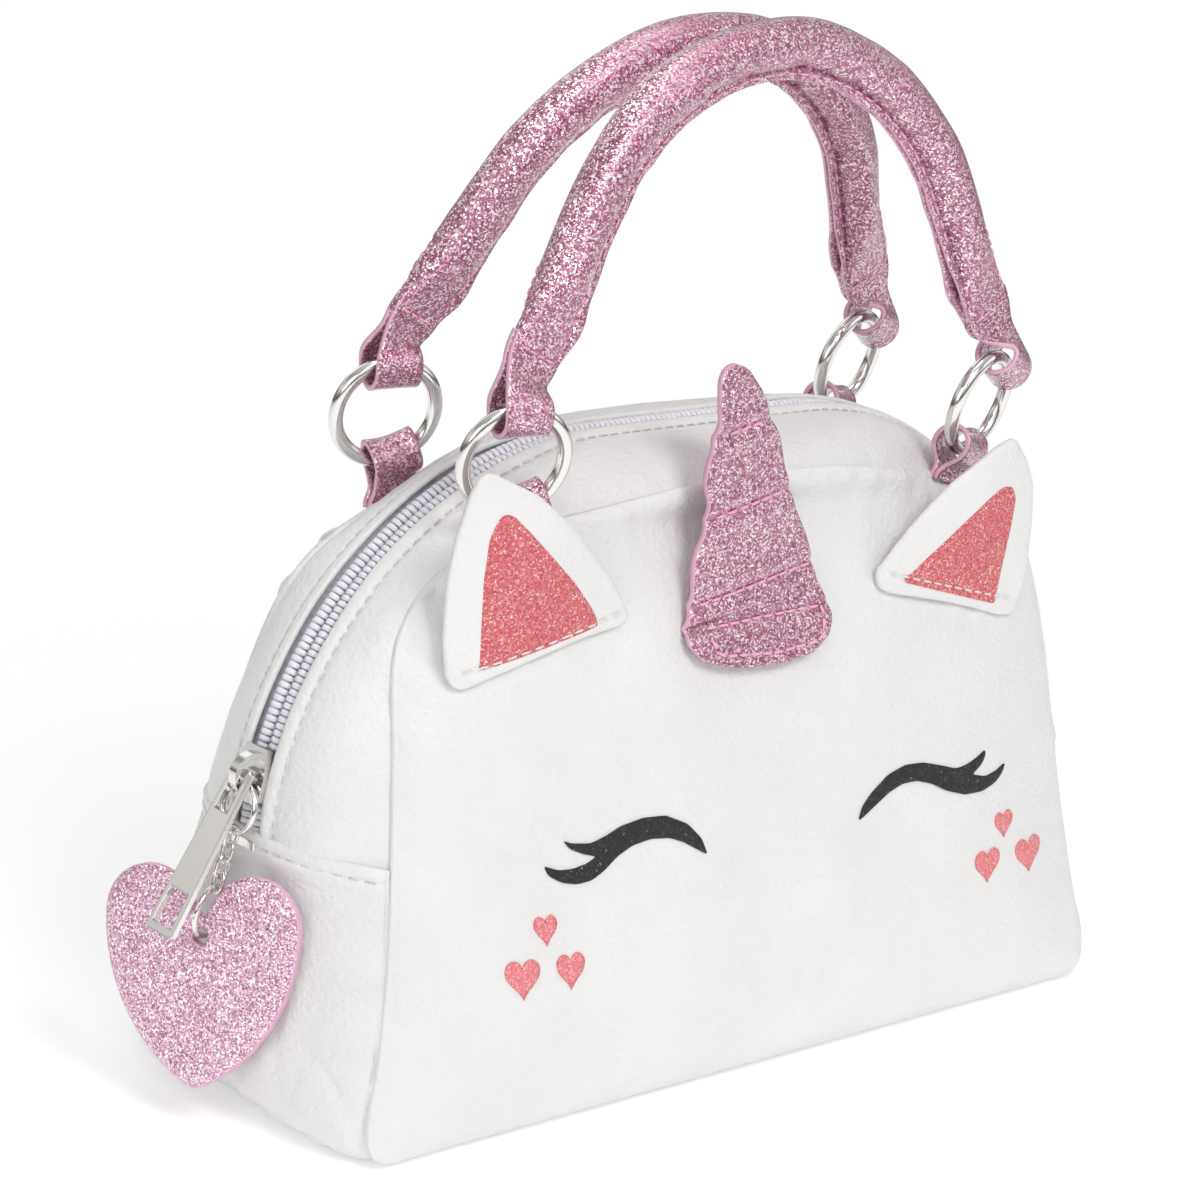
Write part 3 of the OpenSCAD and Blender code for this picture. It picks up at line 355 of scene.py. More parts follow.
def curve(table, steps):
    """Smooth curve through the rows of a table."""
    n = len(table) - 1
    rows = []
    for i in range(n):
        a, b, c, d = table[max(i - 1, 0)], table[i], table[i + 1], table[min(i + 2, n)]
        for t in np.arange(steps) / steps:
            rows.append(0.5 * (2 * b + (c - a) * t + (2 * a - 5 * b + 4 * c - d) * t * t
                + (3 * b - a - 3 * c + d) * t ** 3))
    rows.append(table[n])
    return np.array(rows)


OUTLINE = curve(SHARES, 6)
OUTLINE_X = np.maximum(OUTLINE[:, 0], 0) * HALF_W
OUTLINE_Z = OUTLINE[:, 1] * SEAM_H + FOOT * (1 - OUTLINE[:, 1])
OUTLINE_RUN = run_along(np.stack([OUTLINE_X, OUTLINE_Z], 1))
CROWN = OUTLINE_RUN[-1]
CORNER = OUTLINE_X[0]
# the same outline in finer, even steps: length, x, z, half depth and swell
FL = np.linspace(0, 1, 1600) * CROWN
FINE_STEPS = 8


def fine(values):
    rows = curve(values[:, None], FINE_STEPS)[:, 0]
    at = np.interp(FL, OUTLINE_RUN, np.arange(len(OUTLINE_RUN)))
    return np.interp(at * FINE_STEPS, np.arange(len(rows)), rows)


FX, FZ, FD, FS = (fine(v) for v in (OUTLINE_X, OUTLINE_Z, OUTLINE[:, 2] * HALF_D, OUTLINE[:, 3] * SWELL))
SEAM_LOW, SEAM_TOP = OUTLINE_Z[0], OUTLINE_Z[-1]


def seam(s):
    """Front seam at a signed length from the crown; negative is the left side."""
    s = np.asarray(s, float)
    l = CROWN - np.abs(s)
    return np.stack([np.sign(s) * np.interp(l, FL, FX), -np.interp(l, FL, FD), np.interp(l, FL, FZ)], -1)


def panel_depth(x, z):
    zc = np.clip(z, SEAM_LOW, SEAM_TOP)
    l = np.interp(zc, FZ, FL)
    edge = np.maximum(np.interp(l, FL, FX), 1)
    across = np.minimum(np.abs(x) / edge, 1)
    up = np.abs(2 * (zc - SEAM_LOW) / (SEAM_TOP - SEAM_LOW) - 1)
    return -(np.interp(l, FL, FD) + PANEL_SWELL * (1 - across ** 5) * (1 - up ** 4))


SHOULDER = np.interp(SEAM_H * 0.85 + FOOT * 0.15, FZ, FL)
SHOULDER_X, SHOULDER_Z = np.interp(SHOULDER, FL, FX), np.interp(SHOULDER, FL, FZ)


def panel_plan(u, v):
    """x and z of the panel at u across and v up it, both from 0 to 1."""
    side_x, side_z = np.interp(v * SHOULDER, FL, FX), np.interp(v * SHOULDER, FL, FZ)
    top = seam((CROWN - SHOULDER) * (2 * u - 1))
    base = lerp(-CORNER, CORNER, u)
    shoulder = lerp(-SHOULDER_X, SHOULDER_X, u)
    x = lerp(-side_x, side_x, u) + lerp(base, top[..., 0], v) - lerp(base, shoulder, v)
    z = side_z + lerp(SEAM_LOW, top[..., 2], v) - lerp(SEAM_LOW, SHOULDER_Z, v)
    return x, z


# gathers along the top seam: place along the seam, width, length, height
GATHERS = [(-98, 3.2, 16, 1.1), (-90, 2.6, 12, -0.8), (-84, 3.0, 20, 1.0), (-76, 2.4, 14, -0.8),
    (-70, 3.4, 17, 0.9), (-58, 3.0, 12, -0.5), (-44, 4.0, 14, 0.45), (-20, 4.5, 12, -0.35),
    (8, 5.0, 14, 0.4), (30, 3.6, 12, -0.4), (47, 3.0, 14, 0.6), (60, 2.6, 16, -0.7), (69, 3.0, 20, 1.0),
    (77, 2.4, 14, -0.9), (85, 3.0, 19, 1.1), (93, 2.8, 15, -0.9), (101, 3.4, 14, 0.9),
    (-122, 4.0, 9, 0.5), (-140, 5.0, 9, -0.4), (124, 4.0, 10, -0.5), (146, 5.0, 9, 0.5), (168, 4.0, 8, -0.4)]


def nearest_seam(x, z):
    """Signed length along the seam of the nearest outline point, and the distance to it."""
    outline_x = np.concatenate([-FX[::4], FX[::4][::-1]])
    outline_z = np.concatenate([FZ[::4], FZ[::4][::-1]])
    along = np.concatenate([FL[::4] - CROWN, (CROWN - FL[::4])[::-1]])
    flat = np.stack([np.ravel(x), np.ravel(z)], 1)
    best = np.concatenate([
        ((part[:, :1] - outline_x) ** 2 + (part[:, 1:] - outline_z) ** 2).argmin(1)
        for part in np.array_split(flat, 1 + len(flat) // 2000)])
    dist = np.hypot(flat[:, 0] - outline_x[best], flat[:, 1] - outline_z[best])
    return along[best].reshape(np.shape(x)), dist.reshape(np.shape(x))


def panel_bump(x, z, seed=0.0):
    """How far the leather stands out of the plain panel surface: gathers, pinch and slack."""
    s, d = nearest_seam(x, z)
    low = np.clip(z - SEAM_LOW, 0, None)
    inner = np.minimum(d, low)
    side = 1 if seed == 0 else -1
    out = np.zeros_like(x)
    for at, width, length, high in GATHERS:
        bend = s - side * at + 0.12 * d * math.copysign(1, at)
        fade = np.exp(-(d / length) ** 1.4) * (1 - np.exp(-(d / 1.5) ** 2))
        out += 1.7 * high * np.exp(-(bend / width) ** 2) * fade
    # small puckers of the seam
    along = np.stack([s, d * 0.25, np.full_like(s, seed)], -1)
    out += 0.75 * soft_noise(along, 4.2, 3.1) * np.exp(-d / 6.5) * (1 - np.exp(-(d / 1.2) ** 2))
    # slack of the open face
    flat = np.stack([x, np.zeros_like(x), z], -1)
    slack = soft_noise(flat, 46, 11.3 + seed) * 1.5 + soft_noise(flat, 19, 4.7 + seed) * 0.4
    out += slack * (1 - np.exp(-(inner / 16) ** 2))
    # the base's edge, and the pinch of the seam all round
    base = np.stack([x, np.full_like(x, seed), low * 0.3], -1)
    out += 0.3 * soft_noise(base, 7, 8.8) * np.exp(-low / 7) * (1 - np.exp(-(low / 1.5) ** 2))
    return out - 1.1 * np.exp(-(inner / 2.4) ** 1.5)


def eased(n, k=0.75):
    """0 to 1 in n steps, closer at both ends."""
    t = np.linspace(0, 1, n)
    return lerp(t, 0.5 - 0.5 * np.cos(np.pi * t), k)


# how far the seam allowance turns in, towards the panel's middle and into the bag
ALLOWANCE, ALLOWANCE_DEEP, PANEL_MIDDLE = 0.5, 2.0, np.array([0, 0, 62.0])
FRONT, BACK = ("front", 1), ("back", -1)


def panel_grid(seed):
    u, v = np.meshgrid(eased(170), eased(130))
    x, z = panel_plan(u, v)
    g = np.stack([x, panel_depth(x, z) - panel_bump(x, z, seed), z], -1)
    full = np.pad(g, ((1, 1), (1, 1), (0, 0)), mode="edge")
    for edge in ((0, slice(None)), (-1, slice(None)), (slice(None), 0), (slice(None), -1)):
        way = PANEL_MIDDLE - full[edge]
        way[:, 1] = 0
        full[edge] = full[edge] + unit(way) * ALLOWANCE + np.array([0, ALLOWANCE_DEEP, 0])
    return full


def sheet(g, mirror, thick):
    """Closed sheet of a grid that is modelled for the front, mirrored where it is the back's."""
    return shell(g * np.array([1, mirror, 1]), thick, flip=mirror < 0)


def panels():
    for (name, mirror), seed in ((FRONT, 0.0), (BACK, 5.0)):
        make("leather_%s_panel" % name, sheet(panel_grid(seed), mirror, 1.0), WHITE, [name + "_panel"])


panels()

# Zip line: a flat top between two arcs, the left one round the slider's own pivot
PIVOT = JOINTS["zip_travel"]
ZIP_X, ZIP_Z, ZIP_TOP = -PIVOT[0], PIVOT[2], 141.0
ZIP_R, ZIP_FLAT = ZIP_TOP - ZIP_Z, 2 * ZIP_X
ZIP_ARC = ZIP_R * np.pi / 2
ZIP_LEN = 2 * ZIP_ARC + ZIP_FLAT


def zip_line(f):
    """Points of the zip line and the ways out of the bag there, at shares of its run."""
    l = np.asarray(f, float) * ZIP_LEN
    a = np.clip(l, 0, ZIP_ARC) / ZIP_R
    b = np.clip(ZIP_LEN - l, 0, ZIP_ARC) / ZIP_R
    left, right = l < ZIP_ARC, l > ZIP_ARC + ZIP_FLAT
    out_x = np.where(left, -np.cos(a), np.where(right, np.cos(b), 0))
    out_z = np.where(left, np.sin(a), np.where(right, np.sin(b), 1))
    x = np.clip(l - ZIP_ARC, 0, ZIP_FLAT) - ZIP_X + ZIP_R * out_x
    zero = np.zeros_like(x)
    return np.stack([x, zero, ZIP_Z + ZIP_R * out_z], -1), np.stack([out_x, zero, out_z], -1)


STRIP_END = np.interp(ZIP_Z, FZ, FL)
STRIP_HALF = CROWN - STRIP_END
# half the opening beside the zip: wide where the slider runs, narrow beyond
OPEN_WIDE, OPEN_NARROW, NARROW_FROM, NARROW_OVER = 4.8, 3.5, 0.33, 0.05
SEAM_CLEAR = 0.35
HEM_LINE = 3.2


def strip_points(f, w):
    """Front zip strip: f along it, w from 0 beside the zip to 1 at the seam."""
    edge = lerp(OPEN_WIDE, OPEN_NARROW, smooth_step(np.clip((f - NARROW_FROM) / NARROW_OVER, 0, 1)))
    p = seam((2 * f - 1) * STRIP_HALF)
    q, _ = zip_line(f)
    rise = 1 - w ** 2.6
    depth = -p[..., 1] - LEATHER - SEAM_CLEAR
    x, z = lerp(p[..., 0], q[..., 0], rise), lerp(p[..., 2], q[..., 2], rise)
    return np.stack([x, -lerp(edge, depth, w), z], -1)


def strip_grid(seed):
    f, w = np.meshgrid(np.linspace(0.0, 1.0, 420), 1 - np.linspace(0, 1, 40) ** 1.15)
    g = strip_points(f, w)
    n = normals(g)
    # puckers at the seam and slack
    along = np.stack([(2 * f - 1) * STRIP_HALF, w * 9, np.full_like(f, seed)], -1)
    near = np.exp(-((1 - w) / 0.16))
    high = 0.5 * soft_noise(along, 5.5, 1.7 + seed) * near + 0.5 * soft_noise(g, 26, 2.1 + seed)
    # crease of the hem's stitching, and the hem raised beside the zip
    rim = np.abs(g[..., 1]) - np.abs(g[-1:, :, 1])
    high -= 0.4 * np.exp(-((rim - HEM_LINE) / 0.6) ** 2)
    high += 0.9 * np.exp(-(rim / 2.7) ** 4)
    # pinch at the seam and at both ends
    high -= 0.7 * np.exp(-((1 - w) * 12 / 2.0) ** 1.5)
    high -= 1.0 * np.exp(-(np.minimum(f, 1 - f) * 2 * STRIP_HALF / 6.5) ** 4)
    g = g + n * high[..., None]
    # both ends run on under the hem of the gusset
    ends = []
    for column, inner in ((0, 1), (-1, -2)):
        way = unit(g[:, column] - g[:, inner])
        last, down = g[:, column], n[:, column]
        ends.append([last + way * far - down * deep for far, deep in ((1.0, 0.5), (3.2, 1.3))])
    g = np.stack([ends[0][1], ends[0][0], *g.transpose(1, 0, 2), *ends[1]], 1)
    # the seam allowance, and the edge folded in beside the zip
    _, out = zip_line(np.concatenate([[0, 0], f[0], [1, 1]]))
    allowance = g[0] - out * 0.2 - normals(g)[0] * 2.2
    fold = [g[-1] - out * deep + np.array([0, y, 0]) for deep, y in ((0.35, 0.25), (1.0, 0.3), (1.5, -0.3))]
    return np.concatenate([[allowance], g, fold])


def zip_strips():
    f = np.linspace(0.012, 0.988, 500)
    _, out = zip_line(f)
    edge, far = (np.abs(strip_points(f, np.full_like(f, w))[:, 1]) for w in (0, 1))
    line = strip_points(f, HEM_LINE / (far - edge)) - out * 0.12
    for (name, mirror), seed in ((FRONT, 0.0), (BACK, 9.0)):
        strip = "zip_strip_" + name
        make("leather_" + strip, sheet(strip_grid(seed), mirror, 0.9), WHITE, [strip])
        make("hem_stitches_" + name, stitches(line * np.array([1, mirror, 1]), out, 2.3, 0.9, 0.22), THREAD_WITH_PAINTED_SHADE)


zip_strips()


# Zip tapes and coils
TAPE_IN, TAPE_WIDE, TAPE_TOP, TAPE_THICK = 0.35, 8.6, -1.96, 0.6
COIL_PITCH, COIL_FROM, COIL_SHARE = 1.5, 0.013, 0.974
# one coil loop, from the middle outwards: distance from the middle, height and radius
COIL_LOOP = [(0.45, -1.75, 0.30), (0.75, -0.7, 0.42), (1.5, -0.18, 0.46), (2.3, -0.12, 0.46),
    (2.9, -0.5, 0.42), (3.15, -1.2, 0.36), (2.9, -1.85, 0.3)]


def coil_loop(place, out, across):
    """One loop at a place on the zip line, bulging out and across."""
    along = np.cross(out, Y)
    points = [across * far + out * up for far, up, _ in COIL_LOOP]
    frames = []
    for i, point in enumerate(points):
        way = unit(points[min(i + 1, len(points) - 1)] - points[max(i - 1, 0)])
        frames.append((place + point, along, np.cross(way, along)))
    return sweep(frames, [rounded(radius * 1.5, radius, 2.4, 8) for _, _, radius in COIL_LOOP])


def tape_and_coil():
    p, out = zip_line(np.linspace(0.012, 0.988, 400))
    count = int(ZIP_LEN * COIL_SHARE / COIL_PITCH)
    low = TAPE_TOP - TAPE_THICK
    band = np.array([[TAPE_TOP, TAPE_IN], [TAPE_TOP, TAPE_WIDE], [low, TAPE_WIDE], [low, TAPE_IN]])
    for side, name, phase in ((-1, "front", 0.25), (1, "back", 0.75)):
        across = np.array([0, 1.0, 0]) * side
        tape = sweep([(a, o, across) for a, o in zip(p, out)], band if side < 0 else band[::-1])
        make("zip_tape_cloth_" + name, tape, TAPE, ["zip_tape_" + name], smooth=False)
        at = (np.arange(count) + phase) / count * COIL_SHARE + COIL_FROM
        loops = join([coil_loop(place, way, across) for place, way in zip(*zip_line(at))])
        make("zip_coil_loops_" + name, loops, COIL, ["zip_coil_" + name])


tape_and_coil()

# Side and base gusset
SPLIT = 0.36
HEM, HEM_STITCHES = 4.6, 2.9
REACH = HALF_W * 0.911 + SWELL + LEATHER
# a grid point on the left side, where the way out has a negative x
LEFT_WALL = (55, 20)


def gusset_points(t, w, shrink=1.75, extra=0.8):
    """t from -1, the left end under the zip, through 0, the middle of the base; w from 1 to -1."""
    side = np.abs(t) > SPLIT
    l = np.where(side, (np.abs(t) - SPLIT) / (1 - SPLIT) * (STRIP_END - extra), 0)
    p, before, after = (seam(l - CROWN + step) for step in (0, -1.2, 1.2))
    step = after - before
    out = unit(np.stack([-step[..., 2], np.zeros_like(l), step[..., 0]], -1))
    px = np.where(side, p[..., 0], -CORNER * np.abs(t) / SPLIT)
    py = np.where(side, p[..., 1], -HALF_D)
    pz = np.where(side, p[..., 2], SEAM_LOW)
    top_swell = REACH - np.interp(STRIP_END, FL, FX)
    swell = lerp(np.interp(l, FL, FS), top_swell, np.minimum(l / STRIP_END, 1) ** 3)
    swell = np.where(side, swell, SEAM_LOW)
    blend = smooth_step(np.where(side, np.minimum(l / (SEAM_H * 0.12), 1), 0))
    way = unit(lerp(np.array([0, 0, -1.0]), out, blend[..., None]))
    qx, qz = px + way[..., 0] * swell, np.maximum(pz + way[..., 2] * swell, 0)
    rise = 1 - np.abs(w) ** lerp(7.0, 2.2, blend)
    x, z = lerp(px, qx, rise), lerp(pz, qz, rise)
    return np.stack([np.where(t < 0, x, -x), w * (-py - shrink), z], -1)


def outward(g):
    n = normals(g)
    return -n if n[LEFT_WALL][0] > 0 else n


def gusset_bump(g, t, w):
    """How far the gusset's leather stands out: folds and creases of its sides, seam pinch and hem."""
    up, edge = g[..., 2], 1 - np.abs(w)
    side = np.clip((np.abs(g[..., 0]) - 96) / 14, 0, 1)
    fold = soft_noise(g * np.array([0.2, 1.0, 2.6]), 24, 5.0)
    crease = np.abs(soft_noise(g * np.array([0.2, 1.5, 1.0]), 13, 2.0))
    folds = 1.9 * fold * np.exp(-((up - 26) / 30) ** 2)
    high = side * (folds - 2.4 * (0.3 - crease).clip(0) * np.exp(-up / 38))
    along = np.stack([up, w * 9, np.sign(g[..., 0]) * 3 + np.sign(w)], -1)
    high += 0.4 * soft_noise(along, 4.5, 6.1) * np.exp(-edge / 0.14) * side
    high -= 0.8 * np.exp(-(edge * 40 / 2.2) ** 1.5)
    high *= np.clip(edge * 40, 0, 1) * 0.6 + 0.4
    high = np.where(up < 3.0, np.minimum(high, 0) * side, high)
    # the folded hem under the zip stands out, with the crease of its stitching
    run = (1 - np.abs(t)) / (1 - SPLIT) * (STRIP_END + HEM)
    hem = np.exp(-(run / 5.5) ** 4)
    crease = 0.5 * np.exp(-((run - HEM_STITCHES) / 0.6) ** 2)
    high += 1.35 * hem * (1 - 0.35 * np.exp(-(run / 0.5) ** 2)) - crease
    return high + 0.25 * hem * soft_noise(np.stack([g[..., 1], run, run * 0], -1), 6, 4.0)


def gusset():
    stops = np.concatenate([np.linspace(-1, -SPLIT, 190)[:-1], np.linspace(-SPLIT, SPLIT, 121),
        np.linspace(SPLIT, 1, 190)[1:]])
    t, w = np.meshgrid(stops, 1 - 2 * eased(110, 0.5))
    g = gusset_points(t, w, extra=-HEM)
    n = outward(g)
    g = g + n * gusset_bump(g, t, w)[..., None]
    g[..., 2] = np.maximum(g[..., 2], 0.02)
    # seam allowances along both seams and both ends
    g = np.concatenate([g[:1] - n[:1] * 2.0, g, g[-1:] - n[-1:] * 2.0])
    n = np.concatenate([n[:1], n, n[-1:]])
    g = np.concatenate([g[:, :1] - n[:, :1] * 1.6, g, g[:, -1:] - n[:, -1:] * 1.6], 1)
    leather_sheet = shell(g, 1.0, flip=normals(g)[LEFT_WALL][0] > 0)
    make("leather_side_base_gusset", leather_sheet, WHITE, ["side_base_gusset"])
    w = np.linspace(-0.97, 0.97, 260)
    rows = []
    for end in (-1, 1):
        t = end * (1 - HEM_STITCHES / (STRIP_END + HEM) * (1 - SPLIT))
        out = np.stack([np.full_like(w, end * 0.97), w * 0.35, np.full_like(w, 0.1)], -1)
        line = gusset_points(np.full_like(w, t), w, extra=-HEM)
        rows.append(stitches(line + out * 0.8, out, 2.6, 1.0))
    make("hem_stitches_gusset", join(rows), THREAD_WITH_PAINTED_SHADE)


gusset()

LINING_DEPTH, LINING_THICK = 4.6, 0.3


def hidden_cloth():
    """Lining, seen only if the zip were open."""
    u, v = np.meshgrid(np.linspace(0.06, 0.94, 40), np.linspace(0.06, 0.94, 30))
    x, z = panel_plan(u, v)
    g = np.stack([x, panel_depth(x, z) + LINING_DEPTH, z], -1)
    for name, mirror in (FRONT, BACK):
        make("cloth_lining_" + name, sheet(g, mirror, LINING_THICK), LINING, ["lining_" + name])
    t, w = np.meshgrid(np.linspace(-0.97, 0.97, 120), np.linspace(0.93, -0.93, 24))
    g = gusset_points(t, w, 6.5)
    cloth = shell(g, LINING_THICK, lift=-LINING_DEPTH, flip=normals(g)[12, 10, 0] > 0)
    make("cloth_lining_gusset", cloth, LINING, ["lining_gusset"])


hidden_cloth()

# Rings and the straps round them
RING_MID = 11.4
RING_TURNS = ((18, "Z"), (16, "Y"), (12, "X"))
STRAP, STRAP_BOW = 1.15, 0.22
LOOP_HALF_GAP, FLAT_HALF_GAP = 0.9, 0.64
LOOP_FROM, LOOP_TO = math.radians(48), math.radians(312)


def turned(turns, size=3):
    """Rotation matrix of turns in degrees, the first one outermost."""
    m = Matrix.Identity(size)
    for angle, axis in turns:
        m = m @ Matrix.Rotation(math.radians(angle), size, axis)
    return np.array(m)


def wrap(sx, sy, at, centre, way, across, side, reach, widths, radius, bend):
    """Strap that goes round a ring at the angle at, both its ends leaving along way to the distance reach.
    The strap bends with the ring. Returns a shape with a painted edge."""
    ring = turned(RING_TURNS)
    ways = ((0, 0, 1), (sx, 0, 0), (0, 1, 0))
    up, tangent, turn = (ring @ np.array(v) * np.array([sx, 1, 1]) for v in ways)
    tab = JOINTS["ring_%s_%s_turn" % ("front" if sy < 0 else "back", "left" if sx < 0 else "right")]
    middle = tab + up * RING_MID
    out = math.cos(at) * up + math.sin(at) * tangent
    along = (math.cos(at) * tangent - math.sin(at) * up) * (1 if math.cos(at) > 0 else -1)
    u = np.linspace(-0.5, 0.5, 15)

    def flat_row(a, sign):
        q = np.clip((a - reach[0]) / (reach[1] - reach[0]), 0, 1)
        row = np.outer(u * lerp(*widths, min(q * 2.2, 1)), across)
        return centre + way * a + row + side * sign * lerp(LOOP_HALF_GAP, FLAT_HALF_GAP, q)

    def loop_row(angle):
        sag = bend * (u * widths[0]) ** 2 / (2 * RING_MID)
        row = np.outer(RING_MID + radius * math.cos(angle) - sag, out) + np.outer(u * widths[0], along)
        return middle + row + turn * radius * math.sin(angle)

    steps = np.linspace(reach[1], reach[0], 9)
    rows = [flat_row(a, 1) for a in steps]
    rows += [loop_row(angle) for angle in np.linspace(LOOP_FROM, LOOP_TO, 26)]
    rows += [flat_row(a, -1) for a in steps[::-1]]
    g = np.array(rows)
    run = run_along(g[:, 7])
    s = np.linspace(0, run[-1], 96)
    g = np.stack([sample(s, run, g[:, j]) for j in range(g.shape[1])], 1)
    for _ in range(14):
        g[1:-1] = (g[:-2] + 2 * g[1:-1] + g[2:]) / 4
    n = normals(g)
    inside_out = float(np.dot(n[48, 7], g[48, 7] - middle - out * RING_MID)) < 0
    bow = soft_noise(g, 5.0, sx * 3 + sy) * STRAP_BOW
    g = g + n * bow[..., None] * (-1 if inside_out else 1)
    points, faces = shell(g, STRAP, STRAP / 2, flip=inside_out)
    quads = 2 * (g.shape[0] - 1) * (g.shape[1] - 1)
    return points, faces, [0] * quads + [1] * (len(faces) - quads)


LEFT, RIGHT = ("left", -1), ("right", 1)


def tabs():
    for b, sy in (("front", -1), ("back", 1)):
        for a, sx in (LEFT, RIGHT):
            tab = JOINTS["ring_%s_%s_turn" % (b, a)]
            down, across = np.array([0, -0.1 * sy, -0.995]), np.array([0.956, 0, -0.29 * sx])
            strap = wrap(sx, sy, math.pi, tab, down, across, Y, (5.2, 8.6), (10.6, 13.8), 4.3, 0.5)
            make("tab_strap_%s_%s" % (b, a), strap, MAUVE, ["tab_%s_%s" % (b, a)])


tabs()

# Handles: two straight legs and a bend, each in its own leaning plane
R_BEND, SPLAY = 59.0, math.radians(26.9)
EYE_X = -JOINTS["handle_front_turn"][0]
LEG = (EYE_X - R_BEND * math.cos(SPLAY)) / math.sin(SPLAY)
BEND_Z = LEG * math.cos(SPLAY) - R_BEND * math.sin(SPLAY)
BEND_RUN = R_BEND * (math.pi - 2 * SPLAY)
HANDLE_LEN = 2 * LEG + BEND_RUN
ROLL_FROM, CORD_FROM, CORD_R = 10.6, 32.1, 3.6
ROLL_R, FLAT_HALF_WIDE, FLAT_HALF_THICK = 5.5, 6.7, 1.85
ROLL_POINTS = 48
EDGE_FROM = ROLL_FROM + 1.5
STITCHES_FROM, STITCHES_IN, STITCHES_SIDE = ROLL_FROM + 22, 6.5, 1.42


def handle_line(s):
    """Middle line at a length from the left eye: place in the handle's plane, and the way out there."""
    if s < LEG:
        out = np.array([-math.cos(SPLAY), 0, math.sin(SPLAY)])
        return np.array([-EYE_X + s * math.sin(SPLAY), 0, s * math.cos(SPLAY)]), out
    if s > LEG + BEND_RUN:
        p, out = handle_line(HANDLE_LEN - s)
        return p * np.array([-1, 1, 1]), out * np.array([-1, 1, 1])
    a = math.pi - SPLAY - (s - LEG) / R_BEND
    out = np.array([math.cos(a), 0, math.sin(a)])
    return np.array([0, 0, BEND_Z]) + out * R_BEND, out


def from_end(s):
    return min(s, HANDLE_LEN - s)


def roll_section(s):
    """Section of the roll, flat where it is sewn to the strap ends."""
    end = from_end(s) - ROLL_FROM
    q = smooth_step(np.clip((end - 2.5) / 20.0, 0, 1))
    tip = np.clip(end / 1.2, 0.55, 1)
    wide = lerp(FLAT_HALF_WIDE, ROLL_R, q) * lerp(1, tip, 0.15)
    return rounded(wide, lerp(FLAT_HALF_THICK, ROLL_R, q) * tip, lerp(3.4, 2.0, q), ROLL_POINTS)


def roll_wrinkle(s, section, seed):
    """How far the roll's leather stands out round one section."""
    turn = np.arctan2(section[:, 1], section[:, 0])
    inner = (0.5 - 0.5 * np.cos(turn)) ** 2
    q = np.stack([np.full(ROLL_POINTS, s), 6 * np.cos(turn), 6 * np.sin(turn)], 1)
    bend = np.clip((from_end(s) - LEG * 0.7) / 20, 0, 1)
    end = np.exp(-((from_end(s) - ROLL_FROM - 14) / 9) ** 2)
    short = soft_noise(q * np.array([1, 0.35, 0.35]), 4.2, seed)
    long = soft_noise(q * np.array([0.22, 1, 1]), 5.0, seed + 8)
    wide = soft_noise(q, 17, seed + 4)
    return 0.7 * short * (0.12 + bend * inner + 0.6 * end) + 0.6 * long + 0.25 * wide


def edge_section(s, sign, row, seed):
    """Section of one sewn edge of the roll: it stands inwards, apart from the other edge near the ends."""
    end = from_end(s) - EDGE_FROM
    q = smooth_step(np.clip(end / 19.0, 0, 1))
    tall = 2.2 * (0.35 + 0.65 * q) + 0.3 * noise.noise(Vector((s / 6, row * 3, seed)))
    base = lerp(6.1, 4.7, q)
    far = base + 0.3 + (0.6 + tall) * np.clip(end / 7, 0, 1)
    apart = sign * (0.78 + 1.3 * math.exp(-((end - 10) / 6.5) ** 2))
    apart += 0.35 * noise.noise(Vector((s / 9, 5, seed)))
    root = sign * 0.62
    return [[-far + 0.25, apart - 0.6], [-far, apart - 0.35], [-far, apart + 0.35],
        [-far + 0.25, apart + 0.6], [-base, root + 0.6], [-base, root - 0.6]]


def handle(name, sy, lean, seed):
    body = "handle_" + name
    origin = JOINTS[body + "_turn"] * np.array([0, 1, 1])
    turn = turned([(lean, "X")])
    side = turn @ Y

    def frame_at(s):
        p, out = handle_line(s)
        return p @ turn.T + origin, turn @ out, side

    stops = np.linspace(ROLL_FROM, HANDLE_LEN - ROLL_FROM, 460)
    sections = [roll_section(s) for s in stops]
    sections = [c * (1 + roll_wrinkle(s, c, seed) / ROLL_R)[:, None] for s, c in zip(stops, sections)]
    points, faces = sweep([frame_at(s) for s in stops], sections)
    make("glitter_roll_" + name, (points, faces), MAUVE, ["handle_%s_cover" % name], body)
    roll = points.reshape(len(stops), ROLL_POINTS, 3)
    # the two sewn edges along the inside, with painted rims
    stops = np.linspace(EDGE_FROM, HANDLE_LEN - EDGE_FROM, 420)
    for row, sign in enumerate((1, -1)):
        edge = sweep([frame_at(s) for s in stops], [edge_section(s, sign, row, seed) for s in stops])
        rims = [0, 1, 1, 1, 0, 0] * (len(stops) - 1) + [1, 1]
        make("sewn_edge_%s_%d" % (name, row), (*edge, rims), MAUVE, (), body)
    rows = []
    for face in (-1, 1):
        line = [handle_line(s) for s in np.linspace(STITCHES_FROM, HANDLE_LEN - STITCHES_FROM, 400)]
        line = np.array([p - out * STITCHES_IN + Y * STITCHES_SIDE * face for p, out in line])
        rows.append(stitches(line @ turn.T + origin, side * face, 2.4))
    make("edge_stitches_" + name, join(rows), MAUVE_THREAD, (), body)
    for tag, sx in (LEFT, RIGHT):
        strap_end(name, tag, sx, sy, origin, turn, roll)
    cord = sweep([frame_at(s) for s in np.linspace(CORD_FROM, HANDLE_LEN - CORD_FROM, 160)],
        rounded(CORD_R, CORD_R, 2, 16))
    make("cord_" + name, cord, CORD, ["handle_%s_cord" % name], body)


# points of the roll's section that its side rows of stitches follow, on each face
ROW_POINTS = {1: (6, 18), -1: (42, 30)}


